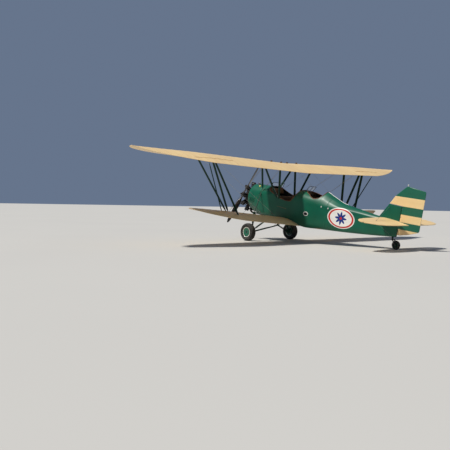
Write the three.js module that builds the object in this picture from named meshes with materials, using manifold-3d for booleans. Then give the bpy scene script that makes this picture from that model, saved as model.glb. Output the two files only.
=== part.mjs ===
// Open-cockpit biplane with two passenger benches and a pilot's seat, parked on its wheels.
// Millimetres. +X is the nose, +Y the port side, +Z up, with the ground at z = 0.
// Most of it is drawn in the level frame, x along the thrust line and the origin
// at the middle of the main axle, which is then pitched nose up on its wheels.
import * as THREE from 'three';
import { mergeVertices } from 'three/addons/utils/BufferGeometryUtils.js';
import Module from 'manifold-3d';

const wasm = await Module();
wasm.setup();

// Driving dimensions
const PARKED_PITCH = 0.19;
const SEAM = 0.3;
const SIDES = { port: 1, starboard: -1 };

const wheel = { radius: 330, halfTrack: 1170, halfWidth: 108, rim: 205, bore: 20.5, stub: 20, nut: 62 };
const tail = { radius: 145, halfWidth: 44, wheelbase: 5530, trail: 130, bore: 8.5, axle: 8, pin: 14 };
const thrust = {
  height: 1120, hubRear: 1748, hubFront: 1812, nose: 1862, radius: 1325, shaft: 28, shaftEnd: 1790, lean: 29,
};
const radial = { row: 1265, mountTube: 32 };

const upperWing = {
  lead: 450, chord: 1830, trailZ: 2500, dihedral: 0.0235, root: 950, half: 6858, frontSpar: 60,
  rearSpar: -820, leadFrom: 5600, leadReach: 830, trailFrom: 4300, trailReach: 930,
};
const lowerWing = {
  lead: -600, chord: 1250, trailZ: 652, dihedral: 0.077, root: 480, half: 4978, frontSpar: -860,
  rearSpar: -1430, leadFrom: 4050, leadReach: 560, trailFrom: 3180, trailReach: 620,
};
const aileron = { from: 3350, to: 4950, chord: 380, gap: 28, ends: 8, nose: 2, places: [3600, 4150, 4800] };
const strutFoot = 3155;
const strutHead = 4040;
const cabaneHead = 860;
const finHinge = { x: -5430, gap: 18 };
const stabiliser = { z: 1608, half: 1850, thick: 56, hinge: -5380, gap: 20 };

// Fuselage sections: x, half width, height of the widest line, belly, crown, belly power, crown power
const SECTIONS = [
  [1060, 370, 1180, 790, 1570, 2.0, 2.0],
  [1040, 432, 1190, 735, 1645, 2.0, 2.1],
  [990, 470, 1200, 680, 1690, 2.0, 2.1],
  [880, 490, 1230, 630, 1708, 2.1, 2.2],
  [650, 500, 1280, 598, 1716, 2.8, 2.3],
  [380, 500, 1340, 600, 1732, 5.0, 2.4],
  [0, 495, 1430, 612, 1772, 8.0, 2.4],
  [-1300, 490, 1490, 620, 1885, 8.0, 2.4],
  [-1900, 486, 1500, 622, 1885, 8.0, 2.2],
  [-2450, 421, 1520, 684, 2005, 8.0, 1.5],
  [-2800, 375, 1530, 728, 1902, 8.0, 1.4],
  [-3300, 311, 1540, 788, 1752, 8.0, 1.5],
  [-4000, 221, 1530, 884, 1690, 7.0, 1.9],
  [-4700, 131, 1500, 992, 1640, 6.0, 2.0],
  [-5412, 40, 1440, 1118, 1634, 4.0, 2.0],
];
const FIREWALL = 380;
const COCKPIT_END = -2800;
const STERN = -5412;
const BULKHEAD = { x: -1490, half: 25 };

// Front rim, scooped side and rear rim of the two cockpits, as x and z
const FRONT_CUT = [
  [60, 2300], [40, 1780], [-40, 1665], [-200, 1585], [-500, 1505], [-780, 1432], [-1000, 1410],
  [-1190, 1424], [-1270, 1500], [-1390, 1700], [-1425, 1850], [-1430, 2300],
];
const REAR_CUT = [
  [-1600, 2300], [-1620, 1895], [-1700, 1862], [-1890, 1815], [-2050, 1745], [-2190, 1708],
  [-2330, 1752], [-2430, 1860], [-2465, 1960], [-2475, 2300],
];

// Colours of the picture
const paint = (color, roughness = 0.5, metalness = 0) =>
  new THREE.MeshStandardMaterial({ color, roughness, metalness });
const GREEN = paint(0x0d5a40, 0.3);
const STRUT_GREEN = paint(0x12392c, 0.35);
const CREAM = paint(0xe2c48d, 0.6);
const BLACK = paint(0x16161a, 0.45, 0.4);
const TYRE = paint(0x1a1a1b, 0.85);
const LEATHER = paint(0x74482a, 0.6);
const GLASS = paint(0xd6e4e6, 0.1);
const WIRE = paint(0x9a9c9e, 0.3, 0.9);

// A closed mesh becomes a solid once its doubled corners are merged and its slivers dropped.
function solid(geometry) {
  const bare = geometry.clone();
  bare.deleteAttribute('normal');
  bare.deleteAttribute('uv');
  const merged = mergeVertices(bare, 1e-3);
  const kept = [];
  const index = merged.index.array;
  for (let i = 0; i < index.length; i += 3) {
    const [a, b, c] = [index[i], index[i + 1], index[i + 2]];
    if (a !== b && b !== c && c !== a) kept.push(a, b, c);
  }
  return new wasm.Manifold(new wasm.Mesh({
    numProp: 3,
    vertProperties: new Float32Array(merged.attributes.position.array),
    triVerts: new Uint32Array(kept),
  }));
}

function geometryOf(body) {
  const mesh = body.getMesh();
  const geometry = new THREE.BufferGeometry();
  geometry.setAttribute('position', new THREE.BufferAttribute(new Float32Array(mesh.vertProperties), 3));
  geometry.setIndex(new THREE.BufferAttribute(new Uint32Array(mesh.triVerts), 1));
  const flat = geometry.toNonIndexed();
  flat.computeVertexNormals();
  return flat;
}

const join = (bodies) => bodies.reduce((sum, body) => sum.add(body));

// The body less its carrier, which is first moved by a seam towards the body.
function seated(body, carrier, dx, dy, dz) {
  return solid(body).subtract(solid(carrier.clone().translate(dx, dy, dz)));
}

function box(x0, x1, y0, y1, z0, z1) {
  const shape = new THREE.BoxGeometry(x1 - x0, Math.abs(y1 - y0), z1 - z0);
  return shape.translate((x0 + x1) / 2, (y0 + y1) / 2, (z0 + z1) / 2);
}

// Rings of equal counts, skinned in order, each end closed by a fan about its middle.
function loft(rings) {
  const count = rings[0].length;
  const points = rings.flat();
  const index = [];
  rings.slice(1).forEach((ring, row) => {
    for (let i = 0; i < count; i += 1) {
      const a = row * count + i;
      const b = row * count + ((i + 1) % count);
      index.push(a, b, b + count, a, b + count, a + count);
    }
  });
  const ends = [[rings[0], 0, true], [rings.at(-1), (rings.length - 1) * count, false]];
  for (const [ring, start, turned] of ends) {
    const middle = ring.reduce((sum, p) => sum.add(p), new THREE.Vector3()).divideScalar(count);
    points.push(middle);
    for (let i = 0; i < count; i += 1) {
      const [a, b] = [start + i, start + ((i + 1) % count)];
      index.push(points.length - 1, ...(turned ? [b, a] : [a, b]));
    }
  }
  const volume = index.reduce((sum, _, i) => (i % 3 ? sum : sum
    + points[index[i]].dot(points[index[i + 1]].clone().cross(points[index[i + 2]]))), 0);
  if (volume < 0) index.reverse();
  const geometry = new THREE.BufferGeometry().setFromPoints(points);
  geometry.setIndex(index);
  return geometry.toNonIndexed();
}

// A round or streamlined tube between two points, its wide side along the flight line.
function tube(from, to, wide, thick = wide, sides = 12) {
  const [start, end] = [new THREE.Vector3(...from), new THREE.Vector3(...to)];
  const along = end.clone().sub(start);
  const length = along.length();
  along.normalize();
  const chordwise = new THREE.Vector3(1, 0, 0).addScaledVector(along, -along.x);
  if (chordwise.lengthSq() < 0.05) chordwise.set(0, 1, 0).addScaledVector(along, -along.y);
  chordwise.normalize();
  const across = chordwise.clone().cross(along);
  const shape = new THREE.CylinderGeometry(1, 1, 1, sides).scale(wide / 2, length, thick / 2);
  const place = new THREE.Matrix4().makeBasis(chordwise, along, across);
  return shape.applyMatrix4(place.setPosition(start.add(end).divideScalar(2)));
}

// A flat outline of x and z, extruded across the aircraft about the centre plane.
function plateXZ(outline, width, bevel = 0) {
  const shape = new THREE.Shape(outline.map(([x, z]) => new THREE.Vector2(x, z)));
  const settings = { depth: width - 2 * bevel, bevelEnabled: bevel > 0, bevelSize: bevel,
    bevelThickness: bevel, bevelOffset: -bevel, bevelSegments: 2 };
  const geometry = new THREE.ExtrudeGeometry(shape, settings).rotateX(Math.PI / 2);
  return geometry.translate(0, width / 2 - bevel, 0);
}

// A flat outline of x and y, extruded up about a height.
function plateXY(outline, thick, z, bevel = 0) {
  const shape = new THREE.Shape(outline.map(([x, y]) => new THREE.Vector2(x, y)));
  const settings = { depth: thick - 2 * bevel, bevelEnabled: bevel > 0, bevelSize: bevel,
    bevelThickness: bevel, bevelOffset: -bevel, bevelSegments: 2 };
  return new THREE.ExtrudeGeometry(shape, settings).translate(0, 0, z - thick / 2 + bevel);
}

// A turned shape about the Y axis from radius and height pairs, run anticlockwise so that it faces out.
function turned(profile, segments = 36) {
  const area = THREE.ShapeUtils.area(profile.map(([r, h]) => new THREE.Vector2(r, h)));
  const outward = area < 0 ? [...profile].reverse() : profile;
  return new THREE.LatheGeometry(outward.map(([r, h]) => new THREE.Vector2(r, h)), segments);
}

// Fuselage

function sectionAt(x) {
  const next = Math.max(1, SECTIONS.findIndex((row) => row[0] <= x));
  const [front, back] = [SECTIONS[next - 1], SECTIONS[next]];
  const share = (x - front[0]) / (back[0] - front[0]);
  return front.map((value, i) => value + share * (back[i] - value));
}

// Two half superellipses that meet at the widest line, inset by the wall.
function hullRing(x, wall) {
  const [, halfWidth, widest, belly, crown, bellyPower, crownPower] = sectionAt(x);
  const count = 32;
  return Array.from({ length: count }, (_, i) => {
    const angle = (2 * Math.PI * i) / count;
    const [c, s] = [Math.cos(angle), Math.sin(angle)];
    const power = s < 0 ? bellyPower : crownPower;
    const reach = s < 0 ? widest - belly : crown - widest;
    const y = Math.sign(c) * Math.abs(c) ** (2 / power) * (halfWidth - wall);
    const z = Math.sign(s) * Math.abs(s) ** (2 / power) * (reach - wall);
    return new THREE.Vector3(x, Math.abs(y) < 1e-6 ? 0 : y, widest + z);
  });
}

function hull(from, to, wall = 0) {
  const between = SECTIONS.map((row) => row[0]).filter((x) => x < from && x > to);
  return loft([from, ...between, to].map((x) => hullRing(x, wall)));
}

const cockpitHull = hull(FIREWALL, COCKPIT_END);
const tailHull = hull(COCKPIT_END - SEAM, STERN);

// The open shell in two: the passengers' part, which holds the bulkhead, and the pilot's part behind it.
function cockpitShells() {
  const [wall, widest, tallest, past] = [22, 1400, 2400, 10];
  const joint = BULKHEAD.x - BULKHEAD.half;
  const whole = solid(cockpitHull)
    .subtract(solid(hull(FIREWALL - 30, BULKHEAD.x + BULKHEAD.half, wall)))
    .subtract(solid(hull(joint, COCKPIT_END + 60, wall)))
    .subtract(solid(plateXZ(FRONT_CUT, widest)))
    .subtract(solid(plateXZ(REAR_CUT, widest)));
  const slice = (x0, x1) => whole.intersect(solid(box(x0, x1, -widest / 2, widest / 2, 0, tallest)));
  return [slice(joint, FIREWALL + past), slice(COCKPIT_END - past, joint - SEAM)];
}

function noseCowl() {
  const [wall, crankHole] = [10, 260];
  const opening = tube([900, 0, thrust.height], [1100, 0, thrust.height], 2 * crankHole, 2 * crankHole, 32);
  return solid(hull(SECTIONS[0][0], FIREWALL + SEAM))
    .subtract(solid(hull(SECTIONS[0][0] - 12, FIREWALL - 40, wall)))
    .subtract(solid(opening));
}

// Engine: crankcase, nine finned cylinders and the tubes that carry it from the firewall

const CRANKCASE = [
  [0, 980], [235, 980], [235, 1090], [205, 1120], [205, 1410], [160, 1490], [150, 1570],
  [92, 1660], [80, 1738], [thrust.shaft, 1738],
  [thrust.shaft, thrust.shaftEnd], [0, thrust.shaftEnd],
];
const CYLINDER = [
  [0, 180], [80, 180], [80, 232], [70, 240], [70, 440], [84, 450], [84, 520], [60, 590], [0, 590],
];

function engine() {
  const centre = [radial.row, 0, thrust.height];
  const parts = [solid(turned(CRANKCASE, 24).rotateZ(-Math.PI / 2).translate(0, 0, thrust.height))];
  for (let i = 0; i < 9; i += 1) {
    const barrel = turned(CYLINDER, 12);
    const intakeBox = box(48, 92, 520, 590, -26, 26);
    const exhaustBox = box(-92, -48, 520, 590, -26, 26);
    const angle = (i * 2 * Math.PI) / 9;
    for (const shape of [barrel, intakeBox, exhaustBox]) {
      parts.push(solid(shape.rotateX(Math.PI / 2 + angle).translate(...centre)));
    }
  }
  const [crankX, closer] = [1010, 0.42];
  for (const [y, z] of [[300, 330], [-300, 330], [300, -330], [-300, -330]]) {
    const foot = [FIREWALL - 15, y, thrust.height + z];
    const head = [crankX, y * closer, thrust.height + z * closer];
    parts.push(solid(tube(foot, head, radial.mountTube)));
  }
  return join(parts).subtract(solid(cockpitHull.clone().translate(SEAM, 0, 0)));
}

// Blade sections by radius: chord, thickness, pitch in degrees
const BLADE = [
  [40, 56, 56, 60], [150, 66, 54, 52], [330, 160, 44, 41], [600, 205, 30, 31], [880, 190, 20, 24],
  [1120, 155, 14, 19], [1260, 110, 9, 17], [1325, 40, 5, 16],
];

function blade() {
  const count = 10;
  return loft(BLADE.map(([radius, chord, thick, pitch]) => Array.from({ length: count }, (_, i) => {
    const angle = (-2 * Math.PI * i) / count;
    const lean = THREE.MathUtils.degToRad(pitch);
    const [sin, cos] = [Math.sin(lean), Math.cos(lean)];
    const [c, t] = [(Math.cos(angle) * chord) / 2, (Math.sin(angle) * thick) / 2];
    return new THREE.Vector3(c * sin + t * cos, t * sin - c * cos, radius);
  })));
}

// The propeller's own origin is on the thrust line in its blades' plane.
function propeller() {
  const plane = (thrust.hubRear + thrust.hubFront) / 2;
  const profile = [
    [0, thrust.hubRear], [78, thrust.hubRear], [78, thrust.hubFront], [46, thrust.hubFront + 6],
    [42, thrust.nose - 14], [26, thrust.nose], [0, thrust.nose],
  ];
  const hub = turned(profile, 24).translate(0, -plane, 0).rotateZ(-Math.PI / 2);
  const [mouth, boreEnd] = [thrust.hubRear - plane - 10, thrust.shaftEnd - plane + 6];
  const across = 2 * thrust.shaft + 1;
  const bore = tube([mouth, 0, 0], [boreEnd, 0, 0], across, across, 24);
  return join([solid(hub), solid(blade()), solid(blade().rotateX(Math.PI))]).subtract(solid(bore));
}

// Wings, each panel in a frame of its own that leans by the dihedral

// Thickness as a share of the chord, camber, how far the tip rises to the crest of the section, how much
// thinner the section gets there, the tip bow's thickness and the power of the trailing edge's rake
const SECTION = { thickness: 0.115, camber: 0.2, tipRise: 0.9, slimmer: 0.35, bow: 22, rake: 1.3 };

// A cambered section, drawn from the trailing edge over the top and back along the underside.
function sectionRing(lead, chord, thickness, y) {
  const stations = [1, 0.8, 0.6, 0.4, 0.24, 0.12, 0.045, 0.01, 0, 0.015, 0.06, 0.18, 0.4, 0.65, 0.85, 1];
  const [nose, edge] = [8, 3];
  return stations.map((f, i) => {
    const shape = 0.2969 * Math.sqrt(f) - 0.126 * f - 0.3516 * f ** 2 + 0.2843 * f ** 3 - 0.1036 * f ** 4;
    const half = 5 * thickness * shape;
    const mean = SECTION.camber * f * (1 - f);
    const blunt = i === 0 || i === stations.length - 1 ? edge / chord : 0;
    const up = i <= nose ? mean + half + blunt : mean - half - blunt;
    return new THREE.Vector3(lead - f * chord, y, up * chord);
  });
}

// The leading edge rounds back along a quarter ellipse and the raked trailing edge sweeps forward to it.
function planform(wing, y) {
  const share = (from) => Math.max(0, (y - from) / (wing.half - from));
  const back = wing.leadReach * (1 - Math.sqrt(Math.max(0, 1 - share(wing.leadFrom) ** 2)));
  const forward = wing.trailReach * share(wing.trailFrom) ** SECTION.rake;
  const chord = wing.chord - back - forward;
  return { lead: wing.lead - back, chord, tip: Math.sqrt(back / wing.leadReach) };
}

// Towards the tip the trailing edge rises first and the leading edge follows, up to a bow that lies near
// the level of the upper surface.
function wingPanel(wing, side, from) {
  const shares = [0, 0.22, 0.4, 0.52, 0.64, 0.75, 0.85, 0.93, 0.98, 1];
  const tips = shares.map((s) => wing.trailFrom + s * (wing.half - wing.trailFrom));
  return loft([from, ...tips].map((y) => {
    const { lead, chord, tip } = planform(wing, y);
    const slim = SECTION.thickness * (1 - SECTION.slimmer * (1 - chord / wing.chord));
    const thickness = Math.max(slim, SECTION.bow / chord);
    const crest = (length, ratio) => length * (SECTION.camber / 4 + ratio / 2);
    const rise = SECTION.tipRise * (crest(wing.chord, SECTION.thickness) - crest(chord, slim));
    return sectionRing(lead, chord, thickness, side * (y - wing.root))
      .map((p) => p.setZ(p.z + rise * (tip + ((1 - tip) * (lead - p.x)) / chord)));
  }));
}

// Lugs on the fixed surface and pins on the moving one, along a hinge line parallel to Y or Z.
const LUG = { width: 8, height: 24, tail: 10, root: 12, pin: 3, bore: 3.4, notch: 22, depth: 26 };

function alongBar(axis, x0, x1, middle, width, cross, offset) {
  const line = [middle - width / 2, middle + width / 2];
  const span = [offset - cross / 2, offset + cross / 2];
  return axis === 'y' ? box(x0, x1, ...line, ...span) : box(x0, x1, ...span, ...line);
}

function alongPin(axis, x, middle, length, radius, offset) {
  const [low, high] = [middle - length / 2, middle + length / 2];
  if (axis === 'y') return tube([x, low, offset], [x, high, offset], 2 * radius);
  return tube([x, offset, low], [x, offset, high], 2 * radius);
}

function withLugs(fixed, axis, hingeX, offset, gap, places) {
  const root = hingeX + gap + LUG.root;
  const bar = (p) => alongBar(axis, hingeX - LUG.tail, root, p, LUG.width, LUG.height, offset);
  const lugs = places.map((p) => solid(bar(p)));
  const bores = places.map((p) => solid(alongPin(axis, hingeX, p, LUG.width + 10, LUG.bore, offset)));
  return join([fixed, ...lugs]).subtract(join(bores));
}

function withPins(moving, axis, hingeX, offset, places) {
  const [front, tall] = [hingeX + 30, 400];
  const cut = (p) => alongBar(axis, hingeX - LUG.depth, front, p, LUG.notch, tall, offset);
  const notches = places.map((p) => solid(cut(p)));
  const pins = places.map((p) => solid(alongPin(axis, hingeX, p, LUG.notch + 16, LUG.pin, offset)));
  return join([moving.subtract(join(notches)), ...pins]);
}

const hinge = { x: upperWing.lead - upperWing.chord + aileron.chord, z: 60 };
const horn = {
  y: 4450, behind: 105, pinZ: -12, cheek: 6, slot: 8.8, reach: 20, low: -32, top: 30,
  eye: 13, tongue: 8, shank: 30,
};

// The panel less its aileron's bay, and the aileron with the two cheeks of its horn.
function upperPanel(side, inboard) {
  const whole = solid(wingPanel(upperWing, side, upperWing.root - 10)).subtract(solid(inboard));
  const local = (y) => side * (y - upperWing.root);
  const bay = (ends, front) => {
    const sides = [local(aileron.from - ends), local(aileron.to + ends)].sort((a, b) => a - b);
    return solid(box(-2000, front, ...sides, -300, 500));
  };
  const places = aileron.places.map(local);
  const spar = whole.subtract(bay(aileron.ends, hinge.x + aileron.gap));
  const flap = whole.intersect(bay(0, hinge.x + aileron.nose));
  const [hornX, hornY, inner] = [hinge.x - horn.behind, local(horn.y), horn.slot / 2];
  const cheeks = [[-inner - horn.cheek, -inner], [inner, inner + horn.cheek]].map(([y0, y1]) => solid(
    box(hornX - horn.reach, hornX + horn.reach, hornY + y0, hornY + y1, horn.low, horn.top)));
  return {
    fixed: withLugs(spar, 'y', hinge.x, hinge.z, aileron.gap, places),
    moving: join([withPins(flap, 'y', hinge.x, hinge.z, places), ...cheeks]),
  };
}

// Assembly

const aircraft = new THREE.Group();
const level = new THREE.Group();
level.position.z = wheel.radius;
level.rotation.y = -PARKED_PITCH;
aircraft.add(level);

function add(parent, name, body, material) {
  const mesh = new THREE.Mesh(body.isBufferGeometry ? body : geometryOf(body), material);
  mesh.name = name;
  parent.add(mesh);
  return mesh;
}

// The same shape in the level frame, for what is seated against it.
function inLevel(mesh) {
  aircraft.updateMatrixWorld(true);
  const place = level.matrixWorld.clone().invert().multiply(mesh.matrixWorld);
  return mesh.geometry.clone().applyMatrix4(place);
}

const [passengerShell, pilotShell] = cockpitShells();
add(level, 'fuselage_cockpits', passengerShell, GREEN);
add(level, 'fuselage_pilot_bay', pilotShell, GREEN);
add(level, 'nose_cowl', noseCowl(), GREEN);
add(level, 'engine', engine(), BLACK);
const airscrew = add(level, 'propeller', propeller(), BLACK);
airscrew.position.set((thrust.hubRear + thrust.hubFront) / 2, 0, thrust.height);
airscrew.rotation.x = THREE.MathUtils.degToRad(thrust.lean);

// Upper wing: centre section and two panels with their ailerons
const centreSection = loft([-1, 0, 1].map((share) => {
  const ring = sectionRing(upperWing.lead, upperWing.chord, SECTION.thickness, share * upperWing.root);
  const rise = upperWing.trailZ + Math.abs(share) * upperWing.dihedral * upperWing.root;
  return ring.map((p) => p.setZ(p.z + rise));
}));
const upper = { centre: add(level, 'upper_wing_centre', solid(centreSection), CREAM) };
const lower = {};

// A panel's own frame, and a neighbour moved outboard by the seam and given in that frame.
function panelFrame(side, y, z, dihedral) {
  const frame = new THREE.Group();
  frame.position.set(0, side * y, z);
  frame.rotation.x = side * Math.atan(dihedral);
  level.add(frame);
  frame.updateMatrix();
  return frame;
}
const inPanel = (frame, side, body) => body.clone().translate(0, side * SEAM, 0)
  .applyMatrix4(frame.matrix.clone().invert());

for (const [name, side] of Object.entries(SIDES)) {
  const rise = upperWing.trailZ + upperWing.dihedral * upperWing.root;
  const frame = panelFrame(side, upperWing.root, rise, upperWing.dihedral);
  const [inner, outer] = [side * (upperWing.root - 300), side * upperWing.root];
  const inboard = box(-2000, 1000, Math.min(inner, outer), Math.max(inner, outer), 2000, 3200);
  const { fixed, moving } = upperPanel(side, inPanel(frame, side, inboard));
  upper[name] = add(frame, `upper_wing_${name}`, fixed, CREAM);
  const flap = geometryOf(moving).translate(-hinge.x, 0, -hinge.z);
  add(frame, `aileron_${name}`, flap, CREAM).position.set(hinge.x, 0, hinge.z);
}

// Lower wing panels, their roots cut to the fuselage side
for (const [name, side] of Object.entries(SIDES)) {
  const frame = panelFrame(side, lowerWing.root, lowerWing.trailZ, lowerWing.dihedral);
  const panel = solid(wingPanel(lowerWing, side, lowerWing.root - 40))
    .subtract(solid(inPanel(frame, side, cockpitHull)));
  lower[name] = add(frame, `lower_wing_${name}`, panel, CREAM);
}

// Struts between the wings: name, head x, foot x
const INTERPLANE = [
  ['front', upperWing.frontSpar, lowerWing.frontSpar + 60],
  ['diagonal', upperWing.rearSpar + 52, lowerWing.frontSpar - 45],
  ['rear', upperWing.rearSpar - 56, lowerWing.rearSpar],
];
// Struts from the fuselage to the centre section: name, head x, and the foot's x, y and z
const CABANE = [
  ['front', 110, 300, 455, 1620],
  ['diagonal', 0, -545, 480, 1400],
  ['rear', -820, -635, 480, 1380],
];
const STRUT = { wide: 100, thick: 40 };
const between = (body, below, above) => body
  .subtract(solid(below.clone().translate(0, 0, SEAM)))
  .subtract(solid(above.clone().translate(0, 0, -SEAM)));

for (const [name, side] of Object.entries(SIDES)) {
  const [roof, floor] = [inLevel(upper[name]), inLevel(lower[name])];
  for (const [place, headX, footX] of INTERPLANE) {
    const headZ = upperWing.trailZ + upperWing.dihedral * strutHead + 50;
    const footZ = lowerWing.trailZ + lowerWing.dihedral * (strutFoot - lowerWing.root) + 90;
    const [head, foot] = [[headX, side * strutHead, headZ], [footX, side * strutFoot, footZ]];
    const strut = tube(head, foot, STRUT.wide, STRUT.thick);
    add(level, `interplane_strut_${place}_${name}`, between(solid(strut), floor, roof), STRUT_GREEN);
  }
  const middle = inLevel(upper.centre);
  for (const [place, headX, footX, footY, footZ] of CABANE) {
    const strut = tube([headX, side * cabaneHead, upperWing.trailZ + 50], [footX, side * footY, footZ],
      STRUT.wide * 0.86, STRUT.thick);
    const cut = solid(strut).subtract(solid(middle.clone().translate(0, 0, -SEAM)))
      .subtract(solid(cockpitHull.clone().translate(0, side * SEAM, SEAM)));
    add(level, `cabane_strut_${place}_${name}`, cut, STRUT_GREEN);
  }
}

// Stay wires: name, inner end and outer end, each as x, distance from the middle and z
const STAYS = [
  ['flying_wire_front', [230, 470, 720], [upperWing.frontSpar + 20, 3900, 2640]],
  ['flying_wire_rear', [-700, 470, 700], [upperWing.rearSpar + 70, 3900, 2640]],
  ['landing_wire', [upperWing.frontSpar - 10, 815, 2545], [lowerWing.frontSpar + 90, 3020, 900]],
];
const STAY = { wide: 10 };
const onSide = ([x, y, z], side) => [x, side * y, z];
for (const [name, side] of Object.entries(SIDES)) {
  for (const [place, inner, outer] of STAYS) {
    const wire = solid(tube(onSide(inner, side), onSide(outer, side), STAY.wide, STAY.wide, 6))
      .subtract(solid(cockpitHull.clone().translate(0, side * SEAM, 0)))
      .subtract(solid(inLevel(upper[name]).translate(0, 0, -SEAM)))
      .subtract(solid(inLevel(upper.centre).translate(0, 0, -SEAM)))
      .subtract(solid(inLevel(lower[name]).translate(0, 0, SEAM)));
    add(level, `${place}_${name}`, wire, WIRE);
  }
}

// Main gear: a split axle to an apex under the belly, a sprung leg and a drag strut to each knuckle,
// and an outrigger that holds the leg's head clear of the fuselage side
const KNUCKLE = { x: 42, inner: 950, outer: 1020, low: -45, high: 105 };
const APEX = [-360, 0, 335];
const LEG_HEAD = [20, 985, 705];
const LEG = { rod: 44, sleeve: 74, dragWide: 60, dragThick: 36, plate: 40, plateTall: 60 };

function axle() {
  const parts = [solid(tube([APEX[0] - 55, 0, APEX[2]], [APEX[0] + 55, 0, APEX[2]], 64))];
  for (const side of Object.values(SIDES)) {
    const y = (value) => side * value;
    const cheeks = [y(KNUCKLE.inner), y(KNUCKLE.outer)].sort((a, b) => a - b);
    parts.push(solid(box(-KNUCKLE.x, KNUCKLE.x, ...cheeks, KNUCKLE.low, KNUCKLE.high)));
    parts.push(solid(tube([0, y(1010), 0], [0, y(1250), 0], 2 * wheel.stub, 2 * wheel.stub, 16)));
    parts.push(solid(tube([0, y(1250), 0], [0, y(1262), 0], wheel.nut, wheel.nut, 16)));
    parts.push(solid(tube([APEX[0], 0, APEX[2]], [0, y(960), 0], 46, 46, 12)));
    const hanger = solid(tube([APEX[0], 0, APEX[2]], [APEX[0], y(170), 660], 38));
    parts.push(hanger.subtract(solid(cockpitHull.clone().translate(0, 0, -SEAM))));
  }
  return join(parts);
}
add(level, 'axle', axle(), STRUT_GREEN);

for (const [name, side] of Object.entries(SIDES)) {
  const y = (value) => side * value;
  const cheeks = [y(KNUCKLE.inner - SEAM), y(KNUCKLE.outer + SEAM)].sort((a, b) => a - b);
  const block = box(-KNUCKLE.x - SEAM, KNUCKLE.x + SEAM, ...cheeks, KNUCKLE.low, KNUCKLE.high + SEAM);
  const skin = solid(cockpitHull.clone().translate(0, side * SEAM, 0));
  const [legY, above] = [y(LEG_HEAD[1]), LEG_HEAD[2] - SEAM];
  const leg = join([
    solid(tube([0, legY, 80], [11, legY, 380], LEG.rod)),
    solid(tube([11, legY, 370], [LEG_HEAD[0], legY, LEG_HEAD[2] + 8], LEG.sleeve)),
  ]).subtract(solid(block)).subtract(solid(box(-100, 100, legY - 100, legY + 100, above, above + 100)));
  add(level, `shock_leg_${name}`, leg, STRUT_GREEN);
  const drag = tube([-15, y(962), 72], [-340, y(440), 660], LEG.dragWide, LEG.dragThick);
  add(level, `drag_strut_${name}`, solid(drag).subtract(solid(block)).subtract(skin), STRUT_GREEN);
  const head = [LEG_HEAD[0], legY, LEG_HEAD[2] + 30];
  const arms = [[318, 455, 1490], [335, 455, 665], [-110, 455, 650]];
  const outrigger = join([
    solid(box(LEG_HEAD[0] - LEG.plate, LEG_HEAD[0] + LEG.plate, legY - 34, legY + 34, LEG_HEAD[2],
      LEG_HEAD[2] + LEG.plateTall)),
    ...arms.map((end) => solid(tube(head, [end[0], y(end[1]), end[2]], 42, 34))),
  ]).subtract(skin);
  add(level, `outrigger_${name}`, outrigger, STRUT_GREEN);
}

// Main wheels, turned about the axle line
const ROLL = 12;
const tyreProfile = (centre, tall, wide) => Array.from({ length: ROLL + 1 }, (_, i) => {
  const angle = (2 * Math.PI * i) / ROLL;
  const round = (v) => Math.sign(v) * Math.abs(v) ** 0.8;
  return [centre + tall * round(Math.sin(angle)), wide * round(Math.cos(angle))];
});
const rimEdge = wheel.rim - SEAM;
const WHEEL_DISC = [
  [wheel.bore, -122], [48, -122], [50, -62], [150, -48], [rimEdge, -84], [rimEdge, 84], [196, 92],
  [184, 88], [150, 84], [48, 80], [44, 74], [wheel.bore, 74], [wheel.bore, -122],
];
for (const [name, side] of Object.entries(SIDES)) {
  const middle = (wheel.radius + wheel.rim) / 2;
  const tall = (wheel.radius - wheel.rim) / 2;
  const tread = turned(tyreProfile(middle, tall, wheel.halfWidth), 32);
  const disc = turned(WHEEL_DISC, 32);
  for (const [piece, shape, material] of [['tyre', tread, TYRE], ['wheel', disc, GREEN]]) {
    const mesh = add(level, `${piece}_${name}`, shape, material);
    mesh.position.set(0, side * wheel.halfTrack, 0);
    mesh.rotation.x = side < 0 ? Math.PI : 0;
  }
}

// Tail surfaces: the stabiliser lies on the deck, the fin stands on it and the rudder wraps over the fin
const STAB_OUTLINE = [
  [-4800, 0], [-4815, 250], [-4930, 1250], [-5000, 1600], [-5070, 1750], [-5130, 1812], [-5250, 1840],
];
const ELEVATOR_OUTLINE = [
  [stabiliser.hinge + 2, 62], [-5440, 66], [-5935, 296], [-5925, 900], [-5880, 1350],
  [-5780, 1640], [-5640, 1775], [-5480, 1842], [stabiliser.hinge + 2, stabiliser.half],
];
const FIN_OUTLINE = [
  [-4620, 1540], [-4700, 1690], [-4930, 2060], [-4950, 2098], [finHinge.x + finHinge.gap, 2098],
  [finHinge.x + finHinge.gap, 1540],
];
const RUDDER_OUTLINE = [
  [finHinge.x + 2, 1185], [finHinge.x + 2, 2114], [-4962, 2114], [-5120, 2390], [-5420, 2700],
  [-5470, 2742], [-5530, 2748], [-6090, 2694], [-6125, 2672], [-6135, 2630], [-6158, 1480],
  [-6150, 1440], [-5800, 1275], [-5520, 1190],
];
const stabEdge = stabiliser.hinge + stabiliser.gap;
const mirrored = (outline) => outline.map(([x, y]) => [x, -y]).reverse();
const rearEdge = [[stabEdge, stabiliser.half - 8], [stabEdge, -stabiliser.half + 8]];
const stabPlan = [...STAB_OUTLINE, ...rearEdge, ...mirrored(STAB_OUTLINE).slice(0, -1)];
const elevatorPlaces = [260, 950, 1600];
const stabBody = solid(plateXY(stabPlan, stabiliser.thick, stabiliser.z, 14));
add(level, 'stabiliser', withLugs(stabBody, 'y', stabiliser.hinge, stabiliser.z, stabiliser.gap,
  [...elevatorPlaces, ...elevatorPlaces.map((y) => -y)]), CREAM);

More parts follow.
